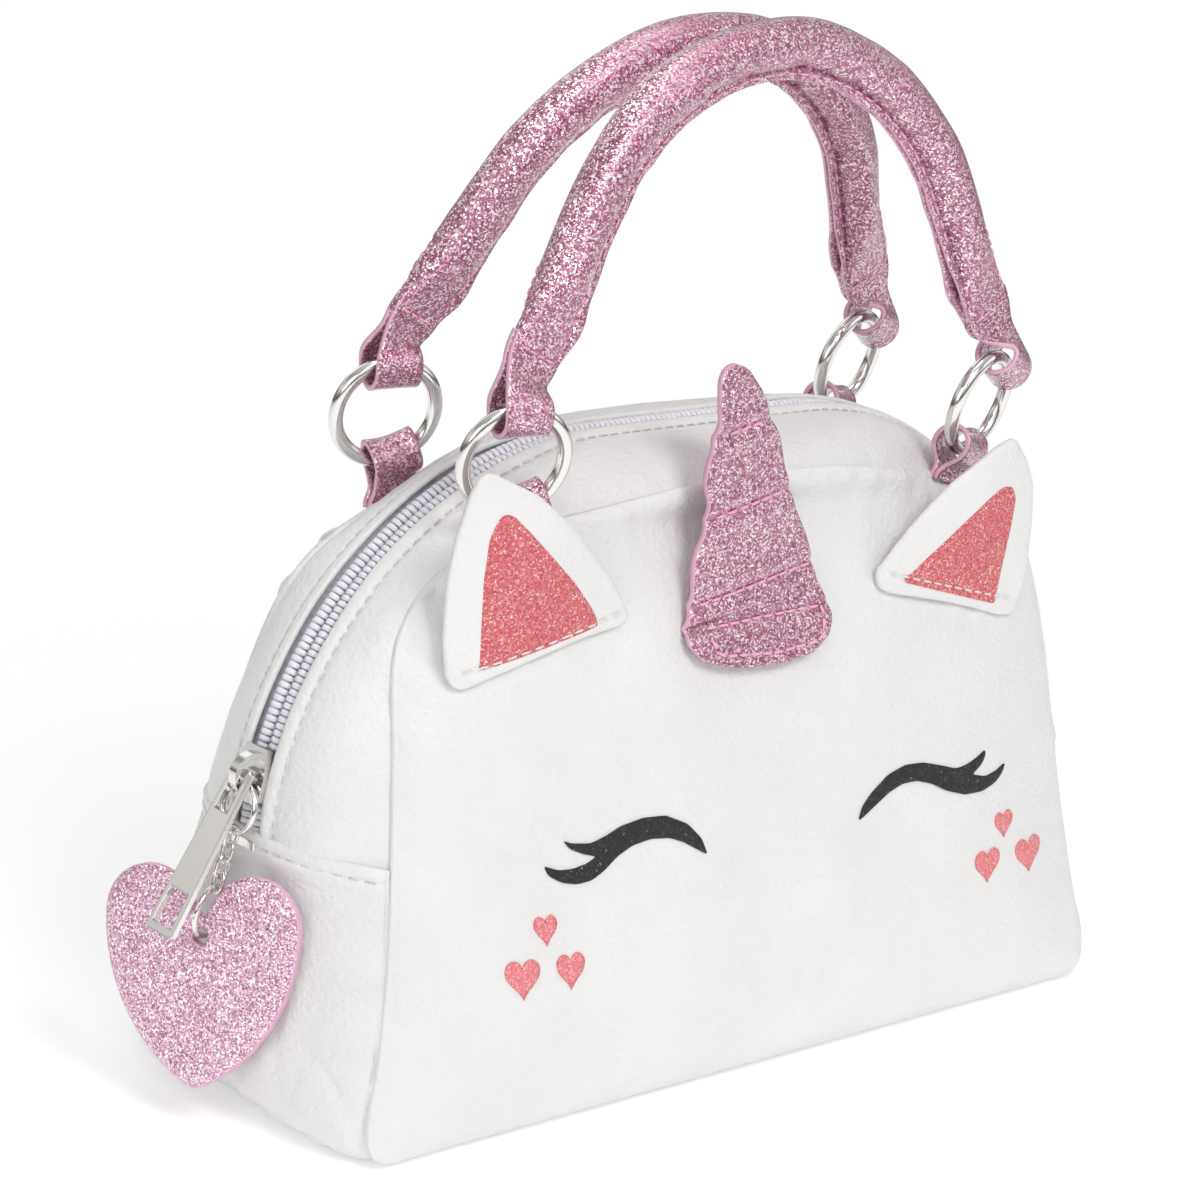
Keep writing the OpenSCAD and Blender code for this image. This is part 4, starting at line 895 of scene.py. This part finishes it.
def strap_end(name, tag, sx, sy, origin, turn, roll):
    """Flat end of a handle round its ring, a cross row of stitches and side rows up the roll."""
    eye = np.array([sx * EYE_X, 0, 0]) @ turn.T + origin
    way = turn @ np.array([-sx * math.sin(SPLAY), 0, math.cos(SPLAY)])
    across = turn @ np.array([math.cos(SPLAY), 0, sx * math.sin(SPLAY)])
    side = turn @ Y
    strap = wrap(sx, sy, math.radians(13), eye, way, across, side, (7.4, 16.0), (10.4, 13.2), 5.0, 0.15)
    make("strap_end_%s_%s" % (name, tag), strap, MAUVE, (), "handle_" + name)
    near = slice(6, 52) if sx < 0 else slice(408, 454)
    rows = []
    for face in (-1, 1):
        middle = eye + way * 13.0 + side * face * 1.8
        rows.append(stitches([middle - across * 5.4, middle + across * 5.4], side * face, 1.8, 0.6))
        rows += [stitches(roll[near, j], side * face, 1.8, 0.7, 0.24) for j in ROW_POINTS[face]]
    make("strap_stitches_%s_%s" % (name, tag), join(rows), MAUVE_THREAD, (), "handle_" + name)


handle("front", -1, -5.0, 1.0)
handle("back", 1, 14.0, 31.0)

# The photograph's camera. Outlines that were read off the photograph are kept as its pixels.
PHOTO_SIZE, PHOTO_FOCUS = 1200, 3629.84
PHOTO_TURN, PHOTO_RISE, PHOTO_ROLL = (math.radians(a) for a in (-42.55, 16.45, 5.48))
PHOTO_AIM, PHOTO_DISTANCE = np.array([-21.28, 0, 100.58]), 802.97


def photo_axes():
    """Right, up and back of the photograph's camera."""
    cos, sin = math.cos(PHOTO_TURN), math.sin(PHOTO_TURN)
    back = np.array([sin * math.cos(PHOTO_RISE), -cos * math.cos(PHOTO_RISE), math.sin(PHOTO_RISE)])
    right = np.array([cos, sin, 0])
    up = np.cross(back, right)
    cos, sin = math.cos(PHOTO_ROLL), math.sin(PHOTO_ROLL)
    return right * cos + up * sin, up * cos - right * sin, back


PHOTO_AXES = photo_axes()
PHOTO_PLACE = PHOTO_AIM + PHOTO_AXES[2] * PHOTO_DISTANCE


def from_photo(pixels, depth):
    """x and z of what the photograph shows at the pixels, on the surface whose y is depth(x, z), to a
    tenth of a millimetre."""
    right, up, back = PHOTO_AXES
    u, v = (np.array(pixels, float) - PHOTO_SIZE / 2).T / PHOTO_FOCUS
    ways = np.outer(u, right) - np.outer(v, up) - back
    y = np.full(len(u), -42.0)
    for _ in range(30):
        places = PHOTO_PLACE + ways * ((y - PHOTO_PLACE[1]) / ways[:, 1])[:, None]
        y = (y + depth(places[:, 0], places[:, 2])) / 2
    return np.round(places[:, [0, 2]], 1)


def off_line(x, z, ends):
    """Height above the straight line through two points in x and z."""
    (ax, az), (bx, bz) = ends
    return (z - az) - (bz - az) / (bx - ax) * (x - ax)


def relaxed(loop, rounds):
    """Closed outline with its corners rounded off."""
    for _ in range(rounds):
        loop = (np.roll(loop, 1, 0) + 2 * loop + np.roll(loop, -1, 0)) / 4
    return loop


def even_loop(corners, n):
    """Closed outline through the corners in n even steps."""
    loop = np.vstack([corners, corners[:1]])
    run = run_along(loop)
    return sample(np.linspace(0, run[-1], n, endpoint=False), run, loop)


def disc_faces(rings, k):
    """Quads of rings of k points, from the innermost out, and the indices of their points."""
    idx = np.arange(rings * k).reshape(rings, k)
    after = np.roll(idx, -1, 1)
    return idx, after, np.stack([idx[:-1], after[:-1], after[1:], idx[1:]], -1).reshape(-1, 4)


def patch(outline, place, thick, edge, rows, lift=0.0):
    """Flat piece filled in from its outline; place gives a surface point for x and z, front towards -Y.
    Its rim is the painted edge."""
    c = outline.mean(0)
    t = np.concatenate([np.linspace(0, 0.92, rows), [0.96, 0.985, 1.0]])
    q = c + (outline - c) * t[:, None, None]
    g = place(q[..., 0], q[..., 1])
    g[..., 1] -= lift
    drop = edge * np.exp(-(np.linalg.norm(outline - q, axis=2) / 0.55) ** 1.5)
    front, back = g.copy(), g.copy()
    front[..., 1] += drop
    back[..., 1] += thick - drop * 0.7
    rings, k = q.shape[:2]
    count = rings * k
    idx, after, quads = disc_faces(rings, k)
    rim = np.stack([idx[-1], after[-1], after[-1] + count, idx[-1] + count], -1)
    faces = np.concatenate([quads, quads[:, ::-1] + count, rim])
    a, b = outline[0] - c, outline[k // 4] - c
    if a[0] * b[1] > a[1] * b[0]:
        faces = faces[:, ::-1]
    points = np.concatenate([front.reshape(-1, 3), back.reshape(-1, 3)])
    return points, faces.tolist(), [0] * (2 * len(quads)) + [1] * len(rim)


# Ears. foot is the line that the ear is sewn along, as height, slope and x, and read_foot is that line
# as it was when the pixels were read. The outlines are x and z, taken from the photograph, with some
# points moved towards the solid ears. patch is the coral piece's outline in pixels.
EARS = {
    "left": dict(foot=(97.6, 0.22, -86.8), read_foot=(96.0, 0.2, -86.0), curl=-1.2,
        line=[(-86.6, 101.6), (-45.0, 110.6)],
        outline=[(-84.8, 144.9), (-71.5, 138.6), (-61.2, 130.6), (-50.8, 120.2), (-43.5, 110.8),
            (-42.4, 108.2), (-44.9, 107.2), (-54.7, 106.2), (-67.5, 103.3), (-78.9, 100.0), (-84.9, 97.8),
            (-86.8, 98.4), (-88.6, 101.1), (-90.2, 109.0), (-91.2, 122.1), (-90.6, 131.1), (-88.8, 138.8),
            (-86.9, 143.1)],
        patch=[(482, 673), (483, 631), (484, 582), (489, 541), (498, 521), (506, 514), (516, 517),
            (530, 531), (555, 558), (579, 585), (596, 611), (603, 627)]),
    "right": dict(foot=(94.4, -0.264, 78.1), read_foot=(103.0, -0.22, 38.0), curl=-0.6,
        line=[(34.0, 109.6), (77.4, 98.2)],
        outline=[(69.0, 138.0), (75.0, 131.6), (78.4, 125.4), (79.8, 116.8), (80.4, 107.4), (79.6, 100.2),
            (78.1, 94.4), (73.0, 94.8), (61.8, 98.4), (51.5, 101.1), (42.1, 103.1), (34.7, 104.8),
            (32.3, 106.5), (31.6, 109.6), (35.3, 114.7), (39.6, 120.0), (44.9, 124.9), (50.3, 129.3),
            (57.2, 133.2), (63.4, 136.6)],
        patch=[(905, 583), (995, 604), (1002, 569), (1011, 531), (1017, 499), (1014, 487), (1005, 487),
            (993, 497), (958, 531), (929, 559)])}
EAR_OUT, EAR_RISE, EAR_LIFT = 2.35, 38, 1.5
FORWARD = -Y


def ear_depth(x, z, foot):
    """Depth of an ear's front before its soft form, and how far up the ear that is."""
    level, slope, at = foot
    line = level + slope * (x - at)
    up = np.clip((z - line) / EAR_RISE, 0, 1)
    return panel_depth(x, line) - EAR_OUT - EAR_LIFT * up * (2 - up), up


def ears():
    for tag, ear in EARS.items():

        def place(x, z):
            y, up = ear_depth(x, z, ear["foot"])
            y = y - ear["curl"] * up * up * (x - x.mean()) / 12
            y = y + soft_noise(np.stack([x, 0 * x, z], -1), 17, 3.0 + ear["foot"][2]) * 0.5 * up
            return np.stack([x, y + 0.35 * np.exp(-(off_line(x, z, ear["line"]) / 0.8) ** 2), z], -1)

        outline = relaxed(even_loop(np.array(ear["outline"]), 220), 5)
        make("leather_ear_" + tag, patch(outline, place, 1.9, 0.5, 30)[:2], WHITE, ["ear_" + tag])
        coral = from_photo(ear["patch"], lambda x, z: ear_depth(x, z, ear["read_foot"])[0])
        coral = patch(relaxed(even_loop(coral, 220), 5), place, 0.3, 0.12, 30, lift=0.22)
        make("glitter_ear_" + tag, coral[:2], CORAL, ["ear_glitter_" + tag])
        line = lerp(*np.array(ear["line"]), np.linspace(0, 1, 60)[:, None])
        thread = stitches(place(line[:, 0], line[:, 1]), FORWARD, 2.5, 1.0, 0.27, 0.25)
        make("ear_stitches_" + tag, thread, EAR_THREAD)


ears()

# Horn: its outline in pixels, and its rows of stitches in x and z
HORN_X, HORN_FOOT, HORN_H, HORN_OUT, SEWN_SHARE = -5.5, SEAM_H * 0.695, 69.0, 3.2, 0.2
HORN_COS, HORN_SIN = math.cos(math.radians(12)), math.sin(math.radians(12))
HORN = [(737, 363), (747, 368), (762, 391), (770, 417), (780, 437), (785, 468), (793, 501), (807, 536),
    (811, 557), (818, 582), (832, 610), (831, 633), (813, 653), (775, 664), (735, 668), (706, 663),
    (689, 646), (688, 626), (693, 600), (696, 559), (706, 531), (710, 503), (706, 483), (712, 452),
    (720, 424), (721, 381), (727, 368)]
HORN_ROWS = [
    [(-20.6, 146.8), (-8.6, 149.2)], [(-22.0, 128.4), (-0.6, 132.8)], [(-24.2, 109.3), (9.2, 115.2)],
    [(-22.4, 104.2), (11.6, 105.6), (10.4, 98.6), (-3.6, 97.4), (-19.6, 98.4), (-22.4, 104.2)]]


def horn_depth(x, z):
    """Depth of the horn's front before its soft form: sewn down at its foot and straight above."""
    dx, dz = x - HORN_X, z - HORN_FOOT
    share = (dz * HORN_COS - dx * HORN_SIN) / HORN_H
    level = HORN_FOOT + np.clip(share, 0, SEWN_SHARE) * HORN_H
    sewn = panel_depth(np.full_like(level, HORN_X), level) - HORN_OUT
    return np.where(share < SEWN_SHARE, np.minimum(sewn, panel_depth(x, z) - HORN_OUT), sewn)


def horn():
    def place(x, z):
        dx, dz = x - HORN_X, z - HORN_FOOT
        share = (dz * HORN_COS - dx * HORN_SIN) / HORN_H
        swell = 0.6 * np.exp(-((dx * HORN_COS + dz * HORN_SIN) / 14) ** 2)
        y = horn_depth(x, z) - swell + soft_noise(np.stack([x, 0 * x, z], -1), 15, 9.0) * 0.6 * share
        for row in HORN_ROWS:
            off = off_line(x, z, row[:2])
            y = y + 0.5 * np.exp(-(off / 0.9) ** 2) - 0.3 * np.exp(-((np.abs(off) - 3) / 1.6) ** 2)
        return np.stack([x, y, z], -1)

    outline = relaxed(even_loop(from_photo(HORN, horn_depth), 320), 6)
    make("glitter_horn", patch(outline, place, 1.8, 0.2, 90), MAUVE, ["horn"])
    rows = []
    for row in HORN_ROWS:
        line = sample(np.linspace(0, len(row) - 1, 90), np.arange(len(row)), row)
        rows.append(stitches(place(line[:, 0], line[:, 1]), FORWARD, 2.6, 0.7, 0.36, 0.2))
    make("horn_stitches", join(rows), MAUVE_THREAD)


horn()

# Prints: the lashes' outlines in pixels, and each heart's middle x and z, width and height
LASHES = {
    "left": [(708.4, 854.7), (702.5, 838.5), (687.9, 823.9), (665.9, 815.8), (643.9, 818.0), (621.9, 826.8),
        (607.2, 837.1), (592.6, 844.4), (574.2, 844.4), (564.0, 841.5), (572.0, 850.3), (585.2, 854.7),
        (598.4, 856.9), (588.9, 864.2), (574.2, 870.1), (559.6, 871.5), (544.9, 867.1), (550.1, 876.7),
        (563.3, 883.3), (577.9, 884.7), (592.6, 881.1), (605.8, 870.8), (618.2, 856.9), (632.9, 845.9),
        (651.2, 838.5), (669.5, 837.8), (684.2, 842.2), (696.7, 848.8)],
    "right": [(856.5, 820.2), (860.1, 805.6), (869.6, 790.9), (885.8, 774.0), (904.1, 764.5), (922.4, 762.3),
        (940.7, 765.2), (955.4, 768.2), (966.4, 763.8), (977.4, 756.4), (985.5, 749.1), (984.0, 757.9),
        (979.6, 765.2), (970.8, 774.0), (984.7, 776.2), (995.7, 770.4), (1005.2, 762.3), (1001.6, 772.6),
        (994.3, 782.1), (981.1, 790.2), (962.7, 793.8), (944.4, 789.4), (929.8, 782.8), (915.1, 779.9),
        (900.4, 782.8), (885.8, 791.6), (871.1, 805.6)]}
CHEEKS = {
    "left": [(-69.4, 47.5, 5.8, 6.2), (-75.8, 38.2, 8.3, 8.3), (-63.7, 38.2, 7.3, 7.7)],
    "right": [(71.0, 47.1, 7.2, 6.2), (64.5, 38.6, 9.2, 7.9), (81.0, 37.9, 11.0, 8.1)]}
PRINT_LIFT, PRINT_THICK = 0.3, 0.3


def inside(p, o):
    """Which of the points p lie inside the closed outline o."""
    x, z = p[:, :1], p[:, 1:]
    a, b = o, np.roll(o, -1, 0)
    cross = (b[:, 0] - a[:, 0]) * (z - a[:, 1]) / (b[:, 1] - a[:, 1] + 1e-12) + a[:, 0]
    return (((a[:, 1] > z) != (b[:, 1] > z)) & (x < cross)).sum(1) % 2 == 1


def film(corners, step):
    """Thin print inside an outline, lying on the front panel."""
    o = relaxed(even_loop(corners, 200), 2)
    gx, gz = np.meshgrid(*(np.arange(o[:, i].min(), o[:, i].max(), step) for i in range(2)))
    q = np.stack([gx.ravel(), gz.ravel()], 1)
    q = q[inside(q, o) & (np.linalg.norm(q[:, None] - o, axis=2).min(1) > 0.35)]
    rim = list(range(len(o)))
    points, _, triangles, *_ = geometry.delaunay_2d_cdt(
        [Vector(v) for v in np.concatenate([o, q])], [], [rim], 1, 1e-4)
    flat, tri = np.array([v[:] for v in points]), np.array(triangles)
    a, b, c = (flat[tri[:, i]] for i in range(3))
    wrong = (b[:, 0] - a[:, 0]) * (c[:, 1] - a[:, 1]) - (b[:, 1] - a[:, 1]) * (c[:, 0] - a[:, 0]) < 0
    tri[wrong] = tri[wrong][:, ::-1]
    x, z = flat.T
    top = np.stack([x, panel_depth(x, z) - panel_bump(x, z) - PRINT_LIFT, z], -1)
    n = len(flat)
    ways = {(int(t[i]), int(t[(i + 1) % 3])) for t in tri for i in range(3)}
    walls = [[j, i, i + n, j + n] for i, j in sorted(ways) if (j, i) not in ways]
    return np.concatenate([top, top + Y * PRINT_THICK]), tri.tolist() + (tri[:, ::-1] + n).tolist() + walls


def print_heart(x, z, wide, tall):
    v = np.linspace(0, 2 * np.pi, 60, endpoint=False)
    across = np.sin(v) ** 3
    up = (13 * np.cos(v) - 5 * np.cos(2 * v) - 2 * np.cos(3 * v) - np.cos(4 * v)) / 16 + 0.16
    return film(np.stack([x + wide / 2 * across, z + tall / 1.8 * up], 1), 0.8)


def prints():
    for tag, pixels in LASHES.items():
        lash = from_photo(pixels, lambda x, z: panel_depth(x, z) - 0.4)
        make("print_lash_" + tag, film(lash, 0.9), BLACK, ["lash_" + tag])
        hearts = join([print_heart(*heart) for heart in CHEEKS[tag]])
        make("print_hearts_" + tag, hearts, PRINT, ["cheek_hearts_" + tag])


prints()

# Heart charm
HEART_W, HEART_H, HOLE_DROP, HOLE_R, PLY = 47.0, 35.5, 3.0, 1.9, 1.3
HEART_TURNS = ((-68, "Z"), (-10, "X"), (-7, "Y"), (90, "X"))


def heart_outline():
    """Heart with its notch at the origin: two round lobes, and flanks that meet in the tip."""
    r = HEART_W * 0.23
    flank_x = (HEART_H ** 2 - HEART_W ** 2 / 4) / HEART_W
    flank_r = flank_x + HEART_W / 2
    half = [(HEART_W / 2 - r + r * math.cos(a), r * math.sin(a)) for a in np.linspace(math.pi * 0.97, 0, 60)]
    half += [(-flank_x + flank_r * math.cos(a), -flank_r * math.sin(a))
        for a in np.linspace(0, math.asin(HEART_H / flank_r), 60)[1:-1]]
    corners = np.array(half + [(0, -HEART_H)] + [(-x, y) for x, y in half][::-1])
    return even_loop(relaxed(corners, 6), 240)


def heart():
    o = heart_outline()
    hole = np.array([0, -HOLE_DROP])
    ring = hole + HOLE_R * unit(o - hole)
    steps = np.concatenate([[0, 0.04, 0.12], np.linspace(0.25, 0.9, 8), [0.95, 0.985, 1.0]])
    q = lerp(ring, o, steps[:, None, None])
    from_rim, from_hole = np.linalg.norm(o - q, axis=2), np.linalg.norm(q - ring, axis=2)
    puff = 1 - 0.55 * np.exp(-from_rim / 0.8) - 0.12 * np.exp(-from_hole / 0.8)
    rings, k = q.shape[:2]
    count = rings * k
    idx, after, quads = disc_faces(rings, k)
    hole_wall, rim = (np.stack([idx[i], after[i], after[i] + count, idx[i] + count], -1) for i in (0, -1))
    faces = np.concatenate([quads, quads[:, ::-1] + count, hole_wall[:, ::-1], rim])
    painted_faces = np.zeros(len(faces), int)
    painted_faces[len(quads) - k:len(quads)] = 1
    painted_faces[2 * len(quads):] = 1
    for (name, _), side in ((FRONT, 1), (BACK, -1)):
        top = np.concatenate([q, PLY * puff[..., None] * side], -1)
        low = np.concatenate([q, np.full((rings, k, 1), 0.02 * side)], -1)
        points = np.concatenate([top.reshape(-1, 3), low.reshape(-1, 3)]) + np.array([0, HOLE_DROP, 0])
        points = points @ turned(HEART_TURNS).T + JOINTS["heart_swing"]
        ply = (points, (faces[:, ::-1] if side > 0 else faces).tolist(), painted_faces)
        make("glitter_heart_" + name, ply, ROSE, ["heart_%s_ply" % name], "heart")


heart()

# Metal and board, carried over from the CAD
ROUND_METAL = ["charm_ring_top", "chain_link_1", "chain_link_2", "chain_link_3", "chain_link_4",
    "charm_ring_low", "ring_front_left", "ring_front_right", "ring_back_left", "ring_back_right"]
EDGED_METAL = ["zip_slider", "zip_puller", "zip_stops"]
BEVEL, WELD, BEVEL_ANGLE = 0.00028, 0.00001, math.radians(35)


def dress(name, material, smooth=False):
    ob = NODES[name]
    ob.data.materials.clear()
    ob.data.materials.append(material)
    ob.data.polygons.foreach_set("use_smooth", np.full(len(ob.data.polygons), smooth))
    return ob


def metal_and_board():
    for name in ROUND_METAL:
        dress(name, NICKEL, smooth=True)
    for name in EDGED_METAL:
        ob = dress(name, NICKEL)
        ob.modifiers.new("weld", "WELD").merge_threshold = WELD
        bevel = ob.modifiers.new("bevel", "BEVEL")
        bevel.width = BEVEL
        bevel.segments = 3
        bevel.angle_limit = BEVEL_ANGLE
        bevel.limit_method = "ANGLE"
    dress("base_board", BOARD)


metal_and_board()

# Studio. Each lamp: place, height that it aims at, width, length and power
LAMPS = {
    "key": ((-0.15, -1.05, 1.05), 0.09, 0.5, 0.5, 7.5), "streak": ((-0.55, -0.55, 1.0), 0.15, 0.1, 0.9, 1.9),
    "side": ((-1.1, -0.35, 0.55), 0.09, 0.6, 0.6, 1.9), "fill": ((0.95, -0.65, 0.6), 0.09, 0.7, 0.7, 0.9),
    "top": ((0.05, 0.15, 1.4), 0.08, 0.6, 0.6, 4.2), "back": ((0.2, 1.1, 0.8), 0.1, 0.7, 0.7, 1.2)}
WHITE_LIGHT = (1, 1, 1)
WORLD_LIGHT, FLOOR_GLOW = 0.29, 0.24
# what shiny metal sees: dark and light bands from straight down to straight up
HORIZON = [(0.0, 0.55), (0.40, 0.42), (0.49, 0.05), (0.56, 0.22), (0.66, 0.85), (0.80, 0.30), (1.0, 0.75)]


def lamps():
    for name, (place, aim, wide, long, power) in LAMPS.items():
        data = bpy.data.lights.new(name, "AREA")
        data.energy = power
        data.shape = "RECTANGLE"
        data.size = wide
        data.size_y = long
        ob = bpy.data.objects.new(name, data)
        scene.collection.objects.link(ob)
        ob.location = place
        ob.rotation_euler = (Vector((0, 0, aim)) - Vector(place)).to_track_quat("-Z", "Y").to_euler()


def floor():
    """Pale floor that turns plain white away from the object, for the camera only."""
    s = Shader("floor")
    s.set(base_color=(0.95, 0.95, 0.95), roughness=0.9, specular_ior_level=0.05,
        emission_color=WHITE_LIGHT, emission_strength=FLOOR_GLOW)
    away = s.node("ShaderNodeVectorMath", {0: s.place}, operation="LENGTH").outputs["Value"]
    far = s.node("ShaderNodeMapRange", {"Value": away, "From Min": 0.16, "From Max": 0.36},
        interpolation_type="SMOOTHSTEP")
    seen = s.node("ShaderNodeLightPath").outputs["Is Camera Ray"]
    white = s.node("ShaderNodeEmission").outputs[0]
    fac = s.math("MULTIPLY", far.outputs[0], seen)
    blend = s.node("ShaderNodeMixShader", {0: fac, 1: s.bsdf.outputs[0], 2: white})
    s.put(s.out.inputs[0], blend.outputs[0])
    mesh = bpy.data.meshes.new("floor")
    mesh.from_pydata([(-3, -3, 0), (3, -3, 0), (3, 3, 0), (-3, 3, 0)], [], [(0, 1, 2, 3)])
    mesh.materials.append(s.material)
    ob = bpy.data.objects.new("floor", mesh)
    scene.collection.objects.link(ob)


def world():
    """Even light, which the camera sees as white and glossy rays as a banded horizon."""
    scene.world = bpy.data.worlds.new("studio")
    scene.world.use_nodes = True
    w = Nodes(scene.world.node_tree)
    rays = w.node("ShaderNodeLightPath").outputs
    way = w.node("ShaderNodeSeparateXYZ", {0: w.node("ShaderNodeTexCoord").outputs["Generated"]})
    height = w.math("MULTIPLY_ADD", way.outputs[2], 0.5, 0.5)
    band = w.ramp(height, [(at, (v, v * 0.98, v * 0.95)) for at, v in HORIZON])

    def light(colour, strength=1.0):
        return w.node("ShaderNodeBackground", {0: colour, 1: strength}).outputs[0]

    def choose(ray, otherwise, then):
        return w.node("ShaderNodeMixShader", {0: rays[ray], 1: otherwise, 2: then}).outputs[0]

    lit = choose("Is Glossy Ray", light(WHITE_LIGHT, WORLD_LIGHT), light(band))
    w.node("ShaderNodeOutputWorld", {0: choose("Is Camera Ray", lit, light(WHITE_LIGHT))})


def camera():
    data = bpy.data.cameras.new("camera")
    data.sensor_width = 36.0
    data.lens = PHOTO_FOCUS * data.sensor_width / PHOTO_SIZE
    data.clip_start = 0.01
    data.clip_end = 20
    ob = bpy.data.objects.new("camera", data)
    scene.collection.objects.link(ob)
    place = Matrix([Vector(way) for way in PHOTO_AXES]).transposed().to_4x4()
    place.translation = Vector(PHOTO_PLACE * MM)
    ob.matrix_world = place
    scene.camera = ob


lamps()
floor()
world()
camera()
scene.view_settings.view_transform = "Standard"

bpy.context.view_layer.update()
